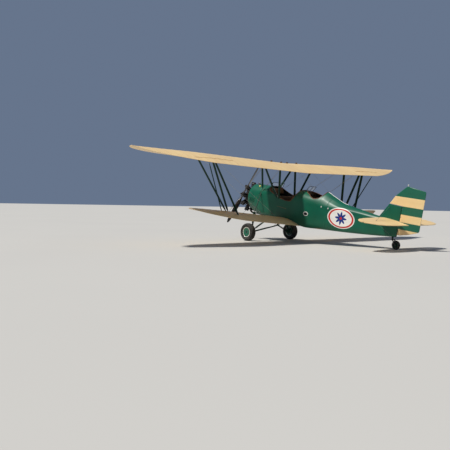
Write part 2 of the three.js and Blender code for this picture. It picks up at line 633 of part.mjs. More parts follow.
const rudderPlaces = [1760, 2020];
const sternLug = 1330;
const SOCKET = { radius: 34, top: 478, bottom: 372 };
const swivelX = -tail.wheelbase + tail.trail;
const tailPivot = new THREE.Matrix4().makeRotationY(PARKED_PITCH).multiply(
  new THREE.Matrix4().makeTranslation(0, 0, -wheel.radius));
const upright = (radius, low, high) => {
  const across = 2 * radius;
  return tube([swivelX, 0, low], [swivelX, 0, high], across, across, 20).applyMatrix4(tailPivot);
};

const seatFront = STAB_OUTLINE[0][0] + 1;
const deckZ = stabiliser.z - stabiliser.thick / 2;
const deckSeat = solid(box(stabEdge - SEAM, seatFront, -400, 400, deckZ - SEAM, 1900));
const tailBody = withLugs(solid(tailHull).subtract(deckSeat), 'z', finHinge.x, 0, finHinge.gap, [sternLug])
  .add(solid(upright(SOCKET.radius, SOCKET.bottom, SOCKET.top - 30)))
  .subtract(solid(upright(tail.pin + 0.5, SOCKET.bottom - 20, SOCKET.top)));
add(level, 'fuselage_tail', tailBody, GREEN);

// The fin's foot stands on the stabiliser, and ahead of it and behind it on the deck.
const stabTop = stabiliser.z + stabiliser.thick / 2;
const finBody = solid(plateXZ(FIN_OUTLINE, 46, 10))
  .subtract(solid(box(stabEdge - SEAM, seatFront, -50, 50, 1500, stabTop + SEAM)))
  .subtract(solid(tailHull.clone().translate(0, 0, SEAM)));
add(level, 'fin', withLugs(finBody, 'z', finHinge.x, 0, finHinge.gap, rudderPlaces), GREEN);

const rudderPlate = solid(plateXZ(RUDDER_OUTLINE, 50, 12));
const rudder = withPins(rudderPlate, 'z', finHinge.x, 0, [sternLug, ...rudderPlaces]);
const rudderMesh = add(level, 'rudder', geometryOf(rudder).translate(-finHinge.x, 0, 0), CREAM);
rudderMesh.position.set(finHinge.x, 0, 0);

for (const [name, side] of Object.entries(SIDES)) {
  const outline = side > 0 ? ELEVATOR_OUTLINE : mirrored(ELEVATOR_OUTLINE);
  const body = withPins(solid(plateXY(outline, 52, stabiliser.z, 13)), 'y', stabiliser.hinge, stabiliser.z,
    elevatorPlaces.map((y) => side * y));
  const flap = geometryOf(body).translate(-stabiliser.hinge, 0, -stabiliser.z);
  add(level, `elevator_${name}`, flap, CREAM).position.set(stabiliser.hinge, 0, stabiliser.z);
}

// Tail wheel in a fork that swivels about an upright pin, in the ground frame
const swivel = new THREE.Group();
swivel.position.set(swivelX, 0, 0);
aircraft.add(swivel);

function tailFork() {
  const [crown, thick, arm] = [tail.radius * 2 + 24, 16, tail.halfWidth + 14];
  const parts = [
    solid(tube([0, 0, crown], [0, 0, SOCKET.top - 8], 2 * tail.pin, 2 * tail.pin, 20)),
    solid(box(-70, 36, -arm - 6, arm + 6, crown, crown + thick)),
    solid(tube([-tail.trail, -arm - 12, tail.radius], [-tail.trail, arm + 12, tail.radius], 2 * tail.axle)),
  ];
  for (const side of [-1, 1]) {
    parts.push(solid(tube([-30, side * arm, crown + 8], [-tail.trail, side * arm, tail.radius], 46, 12)));
  }
  return join(parts);
}
add(swivel, 'tail_fork', tailFork(), BLACK);
const TAIL_WHEEL = [
  [tail.bore, -38], [24, -38], [30, -30], [70, -34], [92, -42], [128, -40], [142, -24], [145, 0],
  [142, 24], [128, 40], [92, 42], [70, 34], [30, 30], [24, 38], [tail.bore, 38], [tail.bore, -38],
];
const tailWheel = add(swivel, 'tail_wheel', turned(TAIL_WHEEL, 24), TYRE);
tailWheel.position.set(-tail.trail, 0, tail.radius);

const SLOT = { half: 30, inboard: 60, outboard: 120, below: 60, above: 200 };

// Push rods from a slot in the lower wing up to the aileron horns, in the upper panel's frame
for (const [name, side] of Object.entries(SIDES)) {
  const frame = upper[name].parent;
  const head = new THREE.Vector3(hinge.x - horn.behind, side * (horn.y - upperWing.root), horn.pinZ);
  const foot = level.worldToLocal(frame.localToWorld(head.clone()));
  foot.set(foot.x + 145, side * 3470, 940);
  const below = frame.worldToLocal(level.localToWorld(foot.clone())).sub(head);
  const rod = join([
    solid(tube([0, -horn.tongue / 2, 0], [0, horn.tongue / 2, 0], 2 * horn.eye, 2 * horn.eye, 16)),
    solid(box(-9, 9, -horn.tongue / 2, horn.tongue / 2, -60, 0)),
    solid(tube([0, 0, -50], below.toArray(), horn.shank, horn.shank, 10)),
  ]);
  add(frame, `push_rod_${name}`, rod, STRUT_GREEN).position.copy(head);
  const slotSides = [foot.y - side * SLOT.inboard, foot.y + side * SLOT.outboard].sort((a, b) => a - b);
  const slot = box(foot.x - SLOT.half, foot.x + SLOT.half, ...slotSides,
    foot.z - SLOT.below, foot.z + SLOT.above);
  lower[name].geometry = geometryOf(solid(lower[name].geometry)
    .subtract(solid(slot.applyMatrix4(lower[name].parent.matrix.clone().invert()))));
}

// Seats: name, x of the back's face, seat depth, half width, pan height, back height and rake
const SEATS = [
  ['front_bench', -420, 380, 430, 960, 1500, 90],
  ['rear_bench', -1190, 390, 430, 960, 1760, 170],
  ['pilot_seat', -2310, 420, 250, 1060, 1690, 110],
];
for (const [name, backX, depth, half, pan, top, rake] of SEATS) {
  const [thick, floorZ] = [90, 660];
  const outline = [
    [backX + depth, floorZ], [backX + depth, pan], [backX, pan], [backX - rake, top],
    [backX - rake - thick, top], [backX - thick, pan - 80], [backX - thick, floorZ],
  ];
  const inside = solid(hull(FIREWALL - 30, COCKPIT_END + 60, 22 + SEAM));
  const clear = BULKHEAD.half + 1;
  const bulkhead = solid(box(BULKHEAD.x - clear, BULKHEAD.x + clear, -600, 600, 500, 2100));
  add(level, name, solid(plateXZ(outline, 2 * half, 12)).intersect(inside).subtract(bulkhead), LEATHER);
}

// Windscreens, three panes on the deck ahead of each cockpit: name, x of the foot, half width, sweep of
// the side panes, lean, and the heights of foot and top
const SCREENS = [
  ['front_windscreen', 130, 330, 110, 0.35, 1700, 1900],
  ['pilot_windscreen', -1480, 190, 60, 0.75, 1800, 2060],
];
for (const [name, x, half, sweep, rake, low, high] of SCREENS) {
  const thick = 6;
  const run = [[x - sweep, half], [x, half * 0.55], [x, -half * 0.55], [x - sweep, -half]];
  const inner = run.map(([px, py]) => [px - 1.5 * thick, py]).reverse();
  const pane = plateXY([...run, ...inner].reverse(), high - low, (low + high) / 2);
  const lean = new THREE.Matrix4().makeShear(0, 0, 0, 0, -rake, 0);
  pane.translate(0, 0, -low).applyMatrix4(lean).translate(0, 0, low);
  add(level, name, seated(pane, cockpitHull, 0, 0, SEAM), GLASS);
}

// The origin is the middle of the outline on the ground.
aircraft.updateMatrixWorld(true);
const reach = new THREE.Box3().setFromObject(aircraft, true);
const middle = reach.getCenter(new THREE.Vector3());
aircraft.position.set(-middle.x, 0, 0);

export default aircraft;
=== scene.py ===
"""Dress of an open-cockpit biplane with two passenger benches and a pilot's seat, parked on its wheels.

Metres. Most shapes are drawn in the level frame: x along the thrust line towards the nose, y to port,
z up, with the origin at the middle of the main axle. The parked frame is that one pitched nose up.
"""
import math

import bpy
import numpy as np
from mathutils import Matrix, Vector


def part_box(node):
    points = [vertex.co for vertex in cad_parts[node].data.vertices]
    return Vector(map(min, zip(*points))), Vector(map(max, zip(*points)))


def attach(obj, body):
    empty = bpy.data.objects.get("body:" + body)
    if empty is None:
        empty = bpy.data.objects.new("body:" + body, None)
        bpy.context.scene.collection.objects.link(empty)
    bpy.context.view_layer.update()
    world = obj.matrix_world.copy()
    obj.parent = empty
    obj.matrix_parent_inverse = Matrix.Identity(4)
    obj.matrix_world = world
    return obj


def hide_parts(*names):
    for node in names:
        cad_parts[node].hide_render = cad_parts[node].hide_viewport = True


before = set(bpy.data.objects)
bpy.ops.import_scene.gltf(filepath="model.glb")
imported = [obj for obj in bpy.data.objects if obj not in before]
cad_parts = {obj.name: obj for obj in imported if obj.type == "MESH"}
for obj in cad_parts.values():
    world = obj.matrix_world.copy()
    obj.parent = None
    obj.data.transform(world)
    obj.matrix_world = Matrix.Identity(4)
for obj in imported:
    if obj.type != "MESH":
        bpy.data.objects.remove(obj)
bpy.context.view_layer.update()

# Driving dimensions
PITCH = 0.19
wheel_low, wheel_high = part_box("wheel_port")
AXLE = (wheel_low + wheel_high) / 2
SIDES = {"port": 1, "starboard": -1}
SEAM = 0.0003
FORWARD, PORT, UP, ORIGIN = (1, 0, 0), (0, 1, 0), (0, 0, 1), (0, 0, 0)

UPPER = dict(lead=0.45, chord=1.83, height=2.5, dihedral=0.0235, root=0.95, half=6.858, lead_from=5.6,
             lead_reach=0.83, trail_from=4.3, trail_reach=0.93)
LOWER = dict(lead=-0.6, chord=1.25, height=0.652, dihedral=0.077, root=0.48, half=4.978, lead_from=4.05,
             lead_reach=0.56, trail_from=3.18, trail_reach=0.62)
SECTION = dict(thickness=0.115, camber=0.2, tip_rise=0.9, slimmer=0.35, bow=0.022, rake=1.3, edge=0.003)
AILERON = dict(start=3.35, end=4.95, chord=0.38, gap=0.028, ends=0.008, nose=0.002, hinge_z=0.06,
               places=(3.6, 4.15, 4.8))
HINGE_X = UPPER["lead"] - UPPER["chord"] + AILERON["chord"]
HORN = dict(y=4.45, behind=0.105, pin_z=-0.012)
RIB_PITCH = 0.305
THRUST_Z = 1.12

# Fuselage sections: x, half width, height of the widest line, belly, crown, belly power, crown power
SECTIONS = np.array([
    [1.060, 0.370, 1.180, 0.790, 1.570, 2.0, 2.0],
    [1.040, 0.432, 1.190, 0.735, 1.645, 2.0, 2.1],
    [0.990, 0.470, 1.200, 0.680, 1.690, 2.0, 2.1],
    [0.880, 0.490, 1.230, 0.630, 1.708, 2.1, 2.2],
    [0.650, 0.500, 1.280, 0.598, 1.716, 2.8, 2.3],
    [0.380, 0.500, 1.340, 0.600, 1.732, 5.0, 2.4],
    [0.000, 0.495, 1.430, 0.612, 1.772, 8.0, 2.4],
    [-1.300, 0.490, 1.490, 0.620, 1.885, 8.0, 2.4],
    [-1.900, 0.486, 1.500, 0.622, 1.885, 8.0, 2.2],
    [-2.450, 0.421, 1.520, 0.684, 2.005, 8.0, 1.5],
    [-2.800, 0.375, 1.530, 0.728, 1.902, 8.0, 1.4],
    [-3.300, 0.311, 1.540, 0.788, 1.752, 8.0, 1.5],
    [-4.000, 0.221, 1.530, 0.884, 1.690, 7.0, 1.9],
    [-4.700, 0.131, 1.500, 0.992, 1.640, 6.0, 2.0],
    [-5.412, 0.040, 1.440, 1.118, 1.634, 4.0, 2.0],
])
FIREWALL, BULKHEAD, COCKPIT_END, STERN = 0.38, -1.49, -2.8, -5.412

# Front rim, scooped side and rear rim of the two cockpits, as x and z
FRONT_CUT = np.array([
    [0.06, 2.3], [0.04, 1.78], [-0.04, 1.665], [-0.2, 1.585], [-0.5, 1.505], [-0.78, 1.432],
    [-1.0, 1.41], [-1.19, 1.424], [-1.27, 1.5], [-1.39, 1.7], [-1.425, 1.85], [-1.43, 2.3],
])
REAR_CUT = np.array([
    [-1.6, 2.3], [-1.62, 1.895], [-1.7, 1.862], [-1.89, 1.815], [-2.05, 1.745], [-2.19, 1.708],
    [-2.33, 1.752], [-2.43, 1.86], [-2.465, 1.96], [-2.475, 2.3],
])

# Camera: where it stands, which way it looks and its lens
EYE = Vector((-13.29, 16.29, 1.307))
HEADING, TILT, ROLL = 0.843, 0.0336, 0.0178
LENS, SENSOR = 46.64, 36.0


# Curves and surfaces

def round_angles(count):
    """Angles at equal steps once round."""
    return np.linspace(0, 2 * np.pi, count, endpoint=False)


def ring_of(count, reach):
    """Pairs of cosine and sine times the reach, at equal steps once round."""
    return [(reach * math.cos(angle), reach * math.sin(angle)) for angle in round_angles(count)]


def collar(inner, outer, low, high):
    """Radius and height pairs of a square-edged ring, ready to be turned."""
    return [(inner, low), (outer, low), (outer, high), (inner, high), (inner, low)]


def smooth(x, knots, values):
    """Cubic pieces through the knots, each slope the harmonic mean of its neighbours, so none overshoots."""
    knots, values = np.asarray(knots, float), np.asarray(values, float)
    if knots[0] > knots[-1]:
        knots, values = knots[::-1], values[::-1]
    flat = values.ndim == 1
    values = values.reshape(len(knots), -1)
    step = np.diff(knots)[:, None]
    rise = np.diff(values, axis=0) / step
    product = rise[:-1] * rise[1:]
    total = np.where(product > 0, rise[:-1] + rise[1:], 1.0)
    inner = np.where(product > 0, 2 * product / total, 0.0)
    slope = np.vstack([rise[:1], inner, rise[-1:]])
    x = np.asarray(x, float)
    at = np.clip(np.searchsorted(knots, x, side="right") - 1, 0, len(knots) - 2)
    t = np.clip((x - knots[at]) / step[at, 0], 0, 1)[..., None]
    a, b, h = values[at], values[at + 1], step[at]
    curve = (a * (1 + 2 * t) * (1 - t) ** 2 + slope[at] * h * t * (1 - t) ** 2
             + b * t ** 2 * (3 - 2 * t) - slope[at + 1] * h * t ** 2 * (1 - t))
    return curve[..., 0] if flat else curve


def ramp(x, low, high):
    """0 below low, 1 above high and an S curve between them."""
    t = np.clip((np.asarray(x, float) - low) / (high - low), 0, 1)
    return t * t * (3 - 2 * t)


def parked(points):
    """Level frame to parked frame: turned nose up by the pitch about the axle's line."""
    x, y, z = np.moveaxis(np.asarray(points, float), -1, 0)
    cos, sin = math.cos(PITCH), math.sin(PITCH)
    return np.stack([AXLE.x + x * cos - z * sin, y, AXLE.z + x * sin + z * cos], -1)


def lattice(points, around=False, along=False):
    """A grid's points and its four-cornered faces. around joins the last column to the first, along the last
    row to the first."""
    rows, columns = points.shape[:2]
    index = np.arange(rows * columns).reshape(rows, columns)
    if along:
        index = np.vstack([index, index[:1]])
    if around:
        index = np.hstack([index, index[:, :1]])
    corners = [index[:-1, :-1], index[1:, :-1], index[1:, 1:], index[:-1, 1:]]
    return points.reshape(-1, 3), np.stack(corners, -1).reshape(-1, 4)


def capped(points):
    """A grid of closed rings, each end closed by a fan about its middle."""
    first = np.broadcast_to(points[:1].mean(1, keepdims=True), points[:1].shape)
    last = np.broadcast_to(points[-1:].mean(1, keepdims=True), points[-1:].shape)
    return lattice(np.concatenate([first, points, last]), around=True)


def tube(path, radius, sides=12, closed=False):
    """A ring carried along a path and turned square to it."""
    path = np.asarray(path, float)
    back, ahead = (np.roll(path, 1, 0), np.roll(path, -1, 0)) if closed else (path, path)
    tangent = ahead - back if closed else np.gradient(path, axis=0)
    tangent /= np.linalg.norm(tangent, axis=1, keepdims=True)
    upright = np.abs(tangent[:, 2]).max() > 0.97
    across = np.cross(tangent, (1.0, 0, 0) if upright else (0, 0, 1.0))
    across /= np.linalg.norm(across, axis=1, keepdims=True)
    top = np.cross(across, tangent)
    angle = round_angles(sides)
    reach = np.broadcast_to(np.asarray(radius, float), (len(path),))[:, None, None]
    cos, sin = np.cos(angle)[None, :, None], np.sin(angle)[None, :, None]
    ring = cos * across[:, None] + sin * top[:, None]
    points = path[:, None] + reach * ring
    return lattice(points, around=True, along=True) if closed else capped(points)


def arc_of(points):
    """Length along a line of points, from its first to each."""
    return np.append(0, np.cumsum(np.linalg.norm(np.diff(points, axis=0), axis=1)))


def rod(start, end, radius, sides=10):
    """A round bar between two points."""
    return tube(np.array([start, end], float), radius, sides)


def bent(points, radius, sides=10, steps=8):
    """A round bar along a smooth curve through a few points."""
    points = np.asarray(points, float)
    arc = arc_of(points)
    return tube(smooth(np.linspace(0, arc[-1], steps * len(points)), arc, points), radius, sides)


def circle(centre, axis, radius, count):
    """Points round a circle about an axis."""
    points, _ = turned([(radius, 0.0)], centre, axis, count)
    return points


def teardrop(start, end, wide, thick, count):
    """The way from one point to another, and the section square to it, blunt side forward, as its reach
    ahead and its reach across."""
    along = (end - start) / np.linalg.norm(end - start)
    ahead = np.array([1.0, 0, 0]) - along[0] * along
    ahead /= np.linalg.norm(ahead)
    angle = round_angles(count)
    fore = wide / 2 * np.cos(angle)
    side = thick / 2 * np.sin(angle) * np.sqrt((1.15 + np.cos(angle)) / 1.6)
    return along, fore[:, None] * ahead, side[:, None] * np.cross(ahead, along)


def streamlined(start, end, wide, thick, count=20):
    """A teardrop section carried straight from one point to another."""
    start, end = np.asarray(start, float), np.asarray(end, float)
    _, fore, side = teardrop(start, end, wide, thick, count)
    ring = fore + side
    return capped(np.stack([start + ring, end + ring]))


def plate(outline, low, high):
    """A flat outline of x and z with a thickness along y."""
    outline = np.asarray(outline, float)
    rows = [np.column_stack([outline[:, 0], np.full(len(outline), y), outline[:, 1]]) for y in (low, high)]
    return capped(np.array(rows))


def ball(centre, radii, rings=10, segments=20):
    """An ellipsoid: half circles turned about the upright and stretched along each axis."""
    angle = np.linspace(-np.pi / 2, np.pi / 2, rings)
    points, faces = turned(np.column_stack([np.cos(angle), np.sin(angle)]), (0, 0, 0), (0, 0, 1), segments)
    return points * radii + np.asarray(centre, float), faces


def bolt(centre, axis, radius, height):
    """A six-sided head with a flat top, seated at a point."""
    profile = [(radius, -0.2 * height), (radius, 0.8 * height), (0.75 * radius, height), (0, height)]
    return turned(profile, centre, axis, 6)


def turned(profile, centre, axis, segments=48):
    """Radius and height pairs turned about an axis through a centre."""
    radius, height = np.asarray(profile, float).T
    axis = np.asarray(axis, float) / np.linalg.norm(axis)
    other = np.array([0, 0, 1.0]) if abs(axis[2]) < 0.9 else np.array([1.0, 0, 0])
    u = np.cross(axis, other)
    u /= np.linalg.norm(u)
    v = np.cross(axis, u)
    angle = round_angles(segments)
    ring = np.cos(angle)[:, None] * u + np.sin(angle)[:, None] * v
    points = np.asarray(centre, float) + height[:, None, None] * axis + radius[:, None, None] * ring[None]
    return lattice(points, around=True)


def block(low, high):
    """A box between two corners, as four rings of four points."""
    (x0, y0, z0), (x1, y1, z1) = low, high
    ring = np.array([[y0, z0], [y1, z0], [y1, z1], [y0, z1]])
    rows = [np.column_stack([np.full(4, x), ring]) for x in (x0, x1)]
    return capped(np.array(rows))


def mirrored(surface, side=-1):
    """The same surface on the other side of the centre plane."""
    points, faces = surface
    return points * (1, side, 1), faces


def outward(points, faces):
    """Turns a surface's faces round if its enclosed volume comes out negative."""
    p = points - points.mean(0)
    a, b, c, d = (p[faces[:, i]] for i in range(4))
    volume = np.einsum("ij,ij->", a, np.cross(b, c)) + np.einsum("ij,ij->", a, np.cross(c, d))
    return faces if volume >= 0 else faces[:, ::-1]


def welded(points, faces, step=2e-6):
    """Merges points that lie together, so that seams and poles close. Returns points, quads and triangles."""
    key = np.round(points / step).astype(np.int64)
    _, first, where = np.unique(key, axis=0, return_index=True, return_inverse=True)
    faces = where.reshape(-1)[faces]
    same = faces == np.roll(faces, -1, axis=1)
    folded = (faces[:, 0] == faces[:, 2]) | (faces[:, 1] == faces[:, 3])
    quads = faces[~same.any(1) & ~folded]
    pinched = faces[(same.sum(1) == 1) & ~folded]
    drop = np.argmax(pinched == np.roll(pinched, -1, axis=1), axis=1)
    order = (drop[:, None] + np.arange(1, 4)) % 4
    triangles = np.take_along_axis(pinched, order, axis=1)
    return points[first], quads, triangles


def mesh_of(name, surfaces, place=parked):
    """One mesh of several surfaces, each facing out, in the parked frame."""
    points, faces, count = [], [], 0
    for p, f in surfaces:
        points.append(p)
        faces.append(outward(p, f) + count)
        count += len(p)
    points, quads, triangles = welded(place(np.concatenate(points)), np.concatenate(faces))
    corners = np.concatenate([quads.ravel(), triangles.ravel()]).astype(np.int32)
    sizes = np.concatenate([np.full(len(quads), 4), np.full(len(triangles), 3)])
    starts = (np.cumsum(sizes) - sizes).astype(np.int32)
    mesh = bpy.data.meshes.new(name)
    mesh.vertices.add(len(points))
    mesh.vertices.foreach_set("co", points.astype(np.float32).ravel())
    mesh.loops.add(len(corners))
    mesh.loops.foreach_set("vertex_index", corners)
    mesh.polygons.add(len(sizes))
    mesh.polygons.foreach_set("loop_start", starts)
    mesh.polygons.foreach_set("use_smooth", np.ones(len(sizes), bool))
    mesh.update(calc_edges=True)
    mesh.validate()
    return mesh


def added(name, data):
    """A mesh, a light or a lens as an object in the scene."""
    made = bpy.data.objects.new(name, data)
    bpy.context.scene.collection.objects.link(made)
    return made


def piece(name, surfaces, finish, body="airframe", slot=None, stands_for=(), crease=35, wall=0.0,
          bevel=0.0, lining=None, place=parked):
    """A finished piece: its mesh with a finish, a wall's thickness inwards or bevelled edges if asked for.
    Blender adds a number to a finish's name that the frame already has, so only the part before it counts."""
    mesh = mesh_of(name, surfaces, place)
    mesh.materials.append(finish)
    made = added(name, mesh)
    mesh.set_sharp_from_angle(angle=math.radians(crease))
    if wall:
        shell = made.modifiers.new("wall", "SOLIDIFY")
        shell.thickness, shell.offset, shell.use_even_offset = wall, -1, True
        if lining:
            mesh.materials.append(lining)
            shell.material_offset = 1
    if bevel:
        edge = made.modifiers.new("edge", "BEVEL")
        edge.width, edge.segments, edge.limit_method = bevel, 2, "ANGLE"
        edge.angle_limit = math.radians(40)
    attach(made, body)
    slot or SLOTS[finish.name.split(".")[0]]
    if stands_for:
        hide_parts(*stands_for)
    return made


# Finishes

def linear(red, green, blue):
    """A picture colour of 0 to 255 as scene-linear values."""
    shade = np.array([red, green, blue]) / 255
    return tuple(np.where(shade <= 0.04045, shade / 12.92, ((shade + 0.055) / 1.055) ** 2.4)) + (1.0,)


class Signal:
    """One socket's value. Arithmetic on it adds the Math nodes."""

    def __init__(self, finish, socket):
        self.finish, self.socket = finish, socket

    def combine(self, operation, *others):
        settings = {"operation": operation}
        return self.finish.node("ShaderNodeMath", settings, dict(enumerate((self, *others))))

    def __add__(self, other):
        return self.combine("ADD", other)

    def __sub__(self, other):
        return self.combine("SUBTRACT", other)

    def __rsub__(self, other):
        return self.finish.node("ShaderNodeMath", {"operation": "SUBTRACT"}, {0: other, 1: self})

    def __mul__(self, other):
        return self.combine("MULTIPLY", other)

    def __truediv__(self, other):
        return self.combine("DIVIDE", other)

    def __pow__(self, other):
        return self.combine("POWER", other)

    __radd__ = __add__
    __rmul__ = __mul__

    def above(self, edge, soft=0.002):
        """0 below the edge and 1 above it, with a soft step between them."""
        return self.finish.node("ShaderNodeMapRange", {"interpolation_type": "SMOOTHSTEP"},
                                {"Value": self, "From Min": edge - soft, "From Max": edge + soft})

    def below(self, edge, soft=0.002):
        return 1.0 - self.above(edge, soft)


class Finish:
    """A material: one Principled shader and the nodes that drive it."""

    def __init__(self, name, **values):
        self.material = bpy.data.materials.new(name)
        self.material.use_nodes = True
        self.tree = self.material.node_tree
        self.shader = self.tree.nodes["Principled BSDF"]
        self.set(**values)
        place = self.node("ShaderNodeTexCoord", output="Object")
        self.place = place
        self.x, self.y, self.z = self.split(place)

    def node(self, kind, settings=None, inputs=None, output=0):
        """A node of a type, its settings made first and then its sockets' values or links."""
        made = self.tree.nodes.new(kind)
        for key, value in (settings or {}).items():
            if key == "stops":
                for spot, shade in zip(made.color_ramp.elements, value):
                    spot.position, spot.color = shade
            else:
                setattr(made, key, value)
        for key, value in (inputs or {}).items():
            self.feed(made.inputs[key], value)
        return Signal(self, made.outputs[output])

    def feed(self, socket, value):
        if isinstance(value, Signal):
            self.tree.links.new(value.socket, socket)
        else:
            socket.default_value = value

    def set(self, **values):
        """Values or links for the shader's sockets, named in lower case with low lines for spaces."""
        for key, value in values.items():
            names = {name.lower().replace(" ", "_"): name for name in self.shader.inputs.keys()}
            self.feed(self.shader.inputs[names[key]], value)
        return self

    def split(self, vector):
        made = self.tree.nodes.new("ShaderNodeSeparateXYZ")
        self.feed(made.inputs[0], vector)
        return [Signal(self, socket) for socket in made.outputs]

    def along(self, direction, start):
        """Distance from a start point along a direction, in the parked frame."""
        dot = self.node("ShaderNodeVectorMath", {"operation": "DOT_PRODUCT"},
                        {0: self.place, 1: tuple(direction)}, output="Value")
        return dot - float(np.dot(direction, start))

    def noise(self, scale, detail=3.0, roughness=0.5, stretch=(1, 1, 1)):
        vector = self.node("ShaderNodeMapping", None, {"Vector": self.place, "Scale": stretch})
        return self.node("ShaderNodeTexNoise", None,
                         {"Vector": vector, "Scale": scale, "Detail": detail, "Roughness": roughness})

    def mix(self, first, second, share):
        """A colour between two, by a share from 0 to 1."""
        made = self.tree.nodes.new("ShaderNodeMix")
        made.data_type = "RGBA"
        for socket, value in zip((made.inputs[0], made.inputs[6], made.inputs[7]), (share, first, second)):
            self.feed(socket, value)
        return Signal(self, made.outputs[2])

    def bump(self, height, distance, strength=1.0):
        inputs = {"Height": height, "Distance": distance, "Strength": strength}
        return self.set(normal=self.node("ShaderNodeBump", None, inputs))


LEVEL_X = np.array([math.cos(PITCH), 0, math.sin(PITCH)])
LEVEL_Z = np.array([-math.sin(PITCH), 0, math.cos(PITCH)])

GREEN = linear(3, 94, 70)
DEEP_GREEN = linear(2, 74, 56)
CREAM = linear(232, 198, 142)
PALE_CREAM = linear(240, 210, 152)
WHITE = linear(238, 236, 228)
RED = linear(196, 40, 30)
BLUE = linear(22, 50, 128)


def level_axes(finish):
    """The level frame's x and z at a point of the surface."""
    return finish.along(LEVEL_X, AXLE), finish.along(LEVEL_Z, AXLE)


# Oval badge on the sides: middle as x and z, half length and half height, and the star's two radii
BADGE = dict(x=-3.4, z=1.275, half_long=0.52, half_tall=0.345, star=0.235, notch=0.1, points=8)
# Heights of the colour changes on the rudder at x = -5.05, and how much they rise per metre aft
RUDDER_BANDS = (1.36, 1.59, 1.83, 2.09, 2.38)
BAND_RISE, BAND_START = 0.0556, -5.05


def badge(finish, shade):
    """A white oval with a red band inside its rim and a blue star with a red middle, drawn on x and z."""
    x, z = level_axes(finish)
    across, up = x - BADGE["x"], z - BADGE["z"]
    oval = ((across / BADGE["half_long"]) ** 2.0 + (up / BADGE["half_tall"]) ** 2.0) ** 0.5
    reach = (across * across + up * up) ** 0.5
    turn = finish.node("ShaderNodeMath", {"operation": "ARCTAN2"}, {0: across, 1: up})
    point = finish.node("ShaderNodeMath", {"operation": "PINGPONG"}, {0: turn, 1: math.pi / BADGE["points"]})
    rim = BADGE["star"] - point * ((BADGE["star"] - BADGE["notch"]) * BADGE["points"] / math.pi)
    band = oval.below(0.93, 0.01) * oval.above(0.8, 0.01)
    inside = (reach - rim).below(0.0, 0.003)
    shade = finish.mix(shade, WHITE, oval.below(1.0, 0.01))
    shade = finish.mix(shade, RED, band)
    shade = finish.mix(shade, BLUE, inside)
    return finish.mix(shade, RED, reach.below(0.045, 0.003))


def green_dope():
    """Glossy green over cloth: faint clouds in the colour, dust near the belly, the badge and a weave."""
    made = Finish("green_dope", coat_weight=0.12, coat_roughness=0.28, specular_ior_level=0.3)
    cloud = made.noise(2.2, 4)
    shade = made.mix(GREEN, DEEP_GREEN, cloud.above(0.55, 0.25) * 0.6)
    _, z = level_axes(made)
    dust = z.below(0.95, 0.35) * cloud.above(0.4, 0.3) * 0.18
    shade = badge(made, made.mix(shade, linear(92, 96, 70), dust))
    weave = made.noise(900, 1, 0.4)
    return made.set(base_color=shade, roughness=0.36 + 0.16 * cloud).bump(weave, 0.0004, 0.2).material


def cream_dope(name="cream_dope", banded=False):
    """Cream dope on cloth over ribs: a wide soft mottling, a darker line of tape along each rib and a weave.
    The rudder's copy has three green bands."""
    made = Finish(name, coat_weight=0.18, coat_roughness=0.3)
    cloud = made.noise(1.4, 4)
    shade = made.mix(CREAM, PALE_CREAM, cloud.above(0.5, 0.3) * 0.8)
    rib = made.node("ShaderNodeMath", {"operation": "PINGPONG"}, {0: made.y, 1: RIB_PITCH / 2})
    if banded:
        x, z = level_axes(made)
        height = z + BAND_RISE * (x - BAND_START)
        low, second, third, fourth, top = (height.above(edge, 0.0015) for edge in RUDDER_BANDS)
        share = (low - second) + (third - fourth) + top
        shade = made.mix(shade, GREEN, share)
    else:
        shade = made.mix(shade, linear(214, 182, 130), rib.below(0.022, 0.003) * 0.35)
    weave = made.noise(800, 1, 0.4)
    made.set(base_color=shade, roughness=0.4 + 0.16 * cloud)
    return made.bump(weave, 0.0004, 0.3).material


def clouded(name, first, second, noise, edge, share, rough, relief, **values):
    """Two colours that drift into each other in soft clouds, the gloss with them, and a relief: a noise's
    scale and detail, or None for the clouds themselves, then its depth and strength."""
    made = Finish(name, **values)
    cloud = made.noise(*noise)
    shade = made.mix(first, second, cloud.above(*edge) * share)
    made.set(base_color=shade, roughness=rough[0] + rough[1] * cloud)
    grain, depth, strength = relief
    return made.bump(made.noise(*grain) if grain else cloud, depth, strength).material


def plain(name, shade, roughness, metallic=0.0, grain=60.0, specular=0.5):
    """A painted or metal finish with faint mottling in its colour and gloss."""
    dark = tuple(value * 0.72 for value in shade[:3]) + (1.0,)
    return clouded(name, shade, dark, (grain, 3), (0.5, 0.3), 1.0, (roughness - 0.06, 0.12),
                   (None, 0.0005, 0.2), metallic=metallic, specular_ior_level=specular)


def wheel_finish():
    """A glossy green disc with a white ring, by the distance from the axle line, and road dust outside."""
    made = Finish("wheel_paint", coat_weight=0.25, coat_roughness=0.16, specular_ior_level=0.35)
    across, up = made.x - AXLE.x, made.z - AXLE.z
    reach = (across * across + up * up) ** 0.5
    cloud = made.noise(9, 4)
    dust = cloud.above(0.5, 0.25) * reach.above(0.11, 0.06) * 0.35
    shade = made.mix(GREEN, WHITE, reach.above(0.166, 0.0015))
    shade = made.mix(shade, linear(34, 34, 34), reach.above(0.1845, 0.001))
    shade = made.mix(shade, linear(120, 112, 92), dust)
    return made.set(base_color=shade, roughness=0.25 + 0.35 * cloud).material


def clear_sheet():
    """A thin clear sheet with a slight haze of fine scratches."""
    made = Finish("clear_sheet", transmission_weight=1.0, ior=1.1, specular_ior_level=0.3)
    haze = made.noise(40, 3)
    made.set(base_color=linear(238, 244, 244), roughness=0.04 + 0.05 * haze, alpha=0.12 + 0.05 * haze)
    return made.material


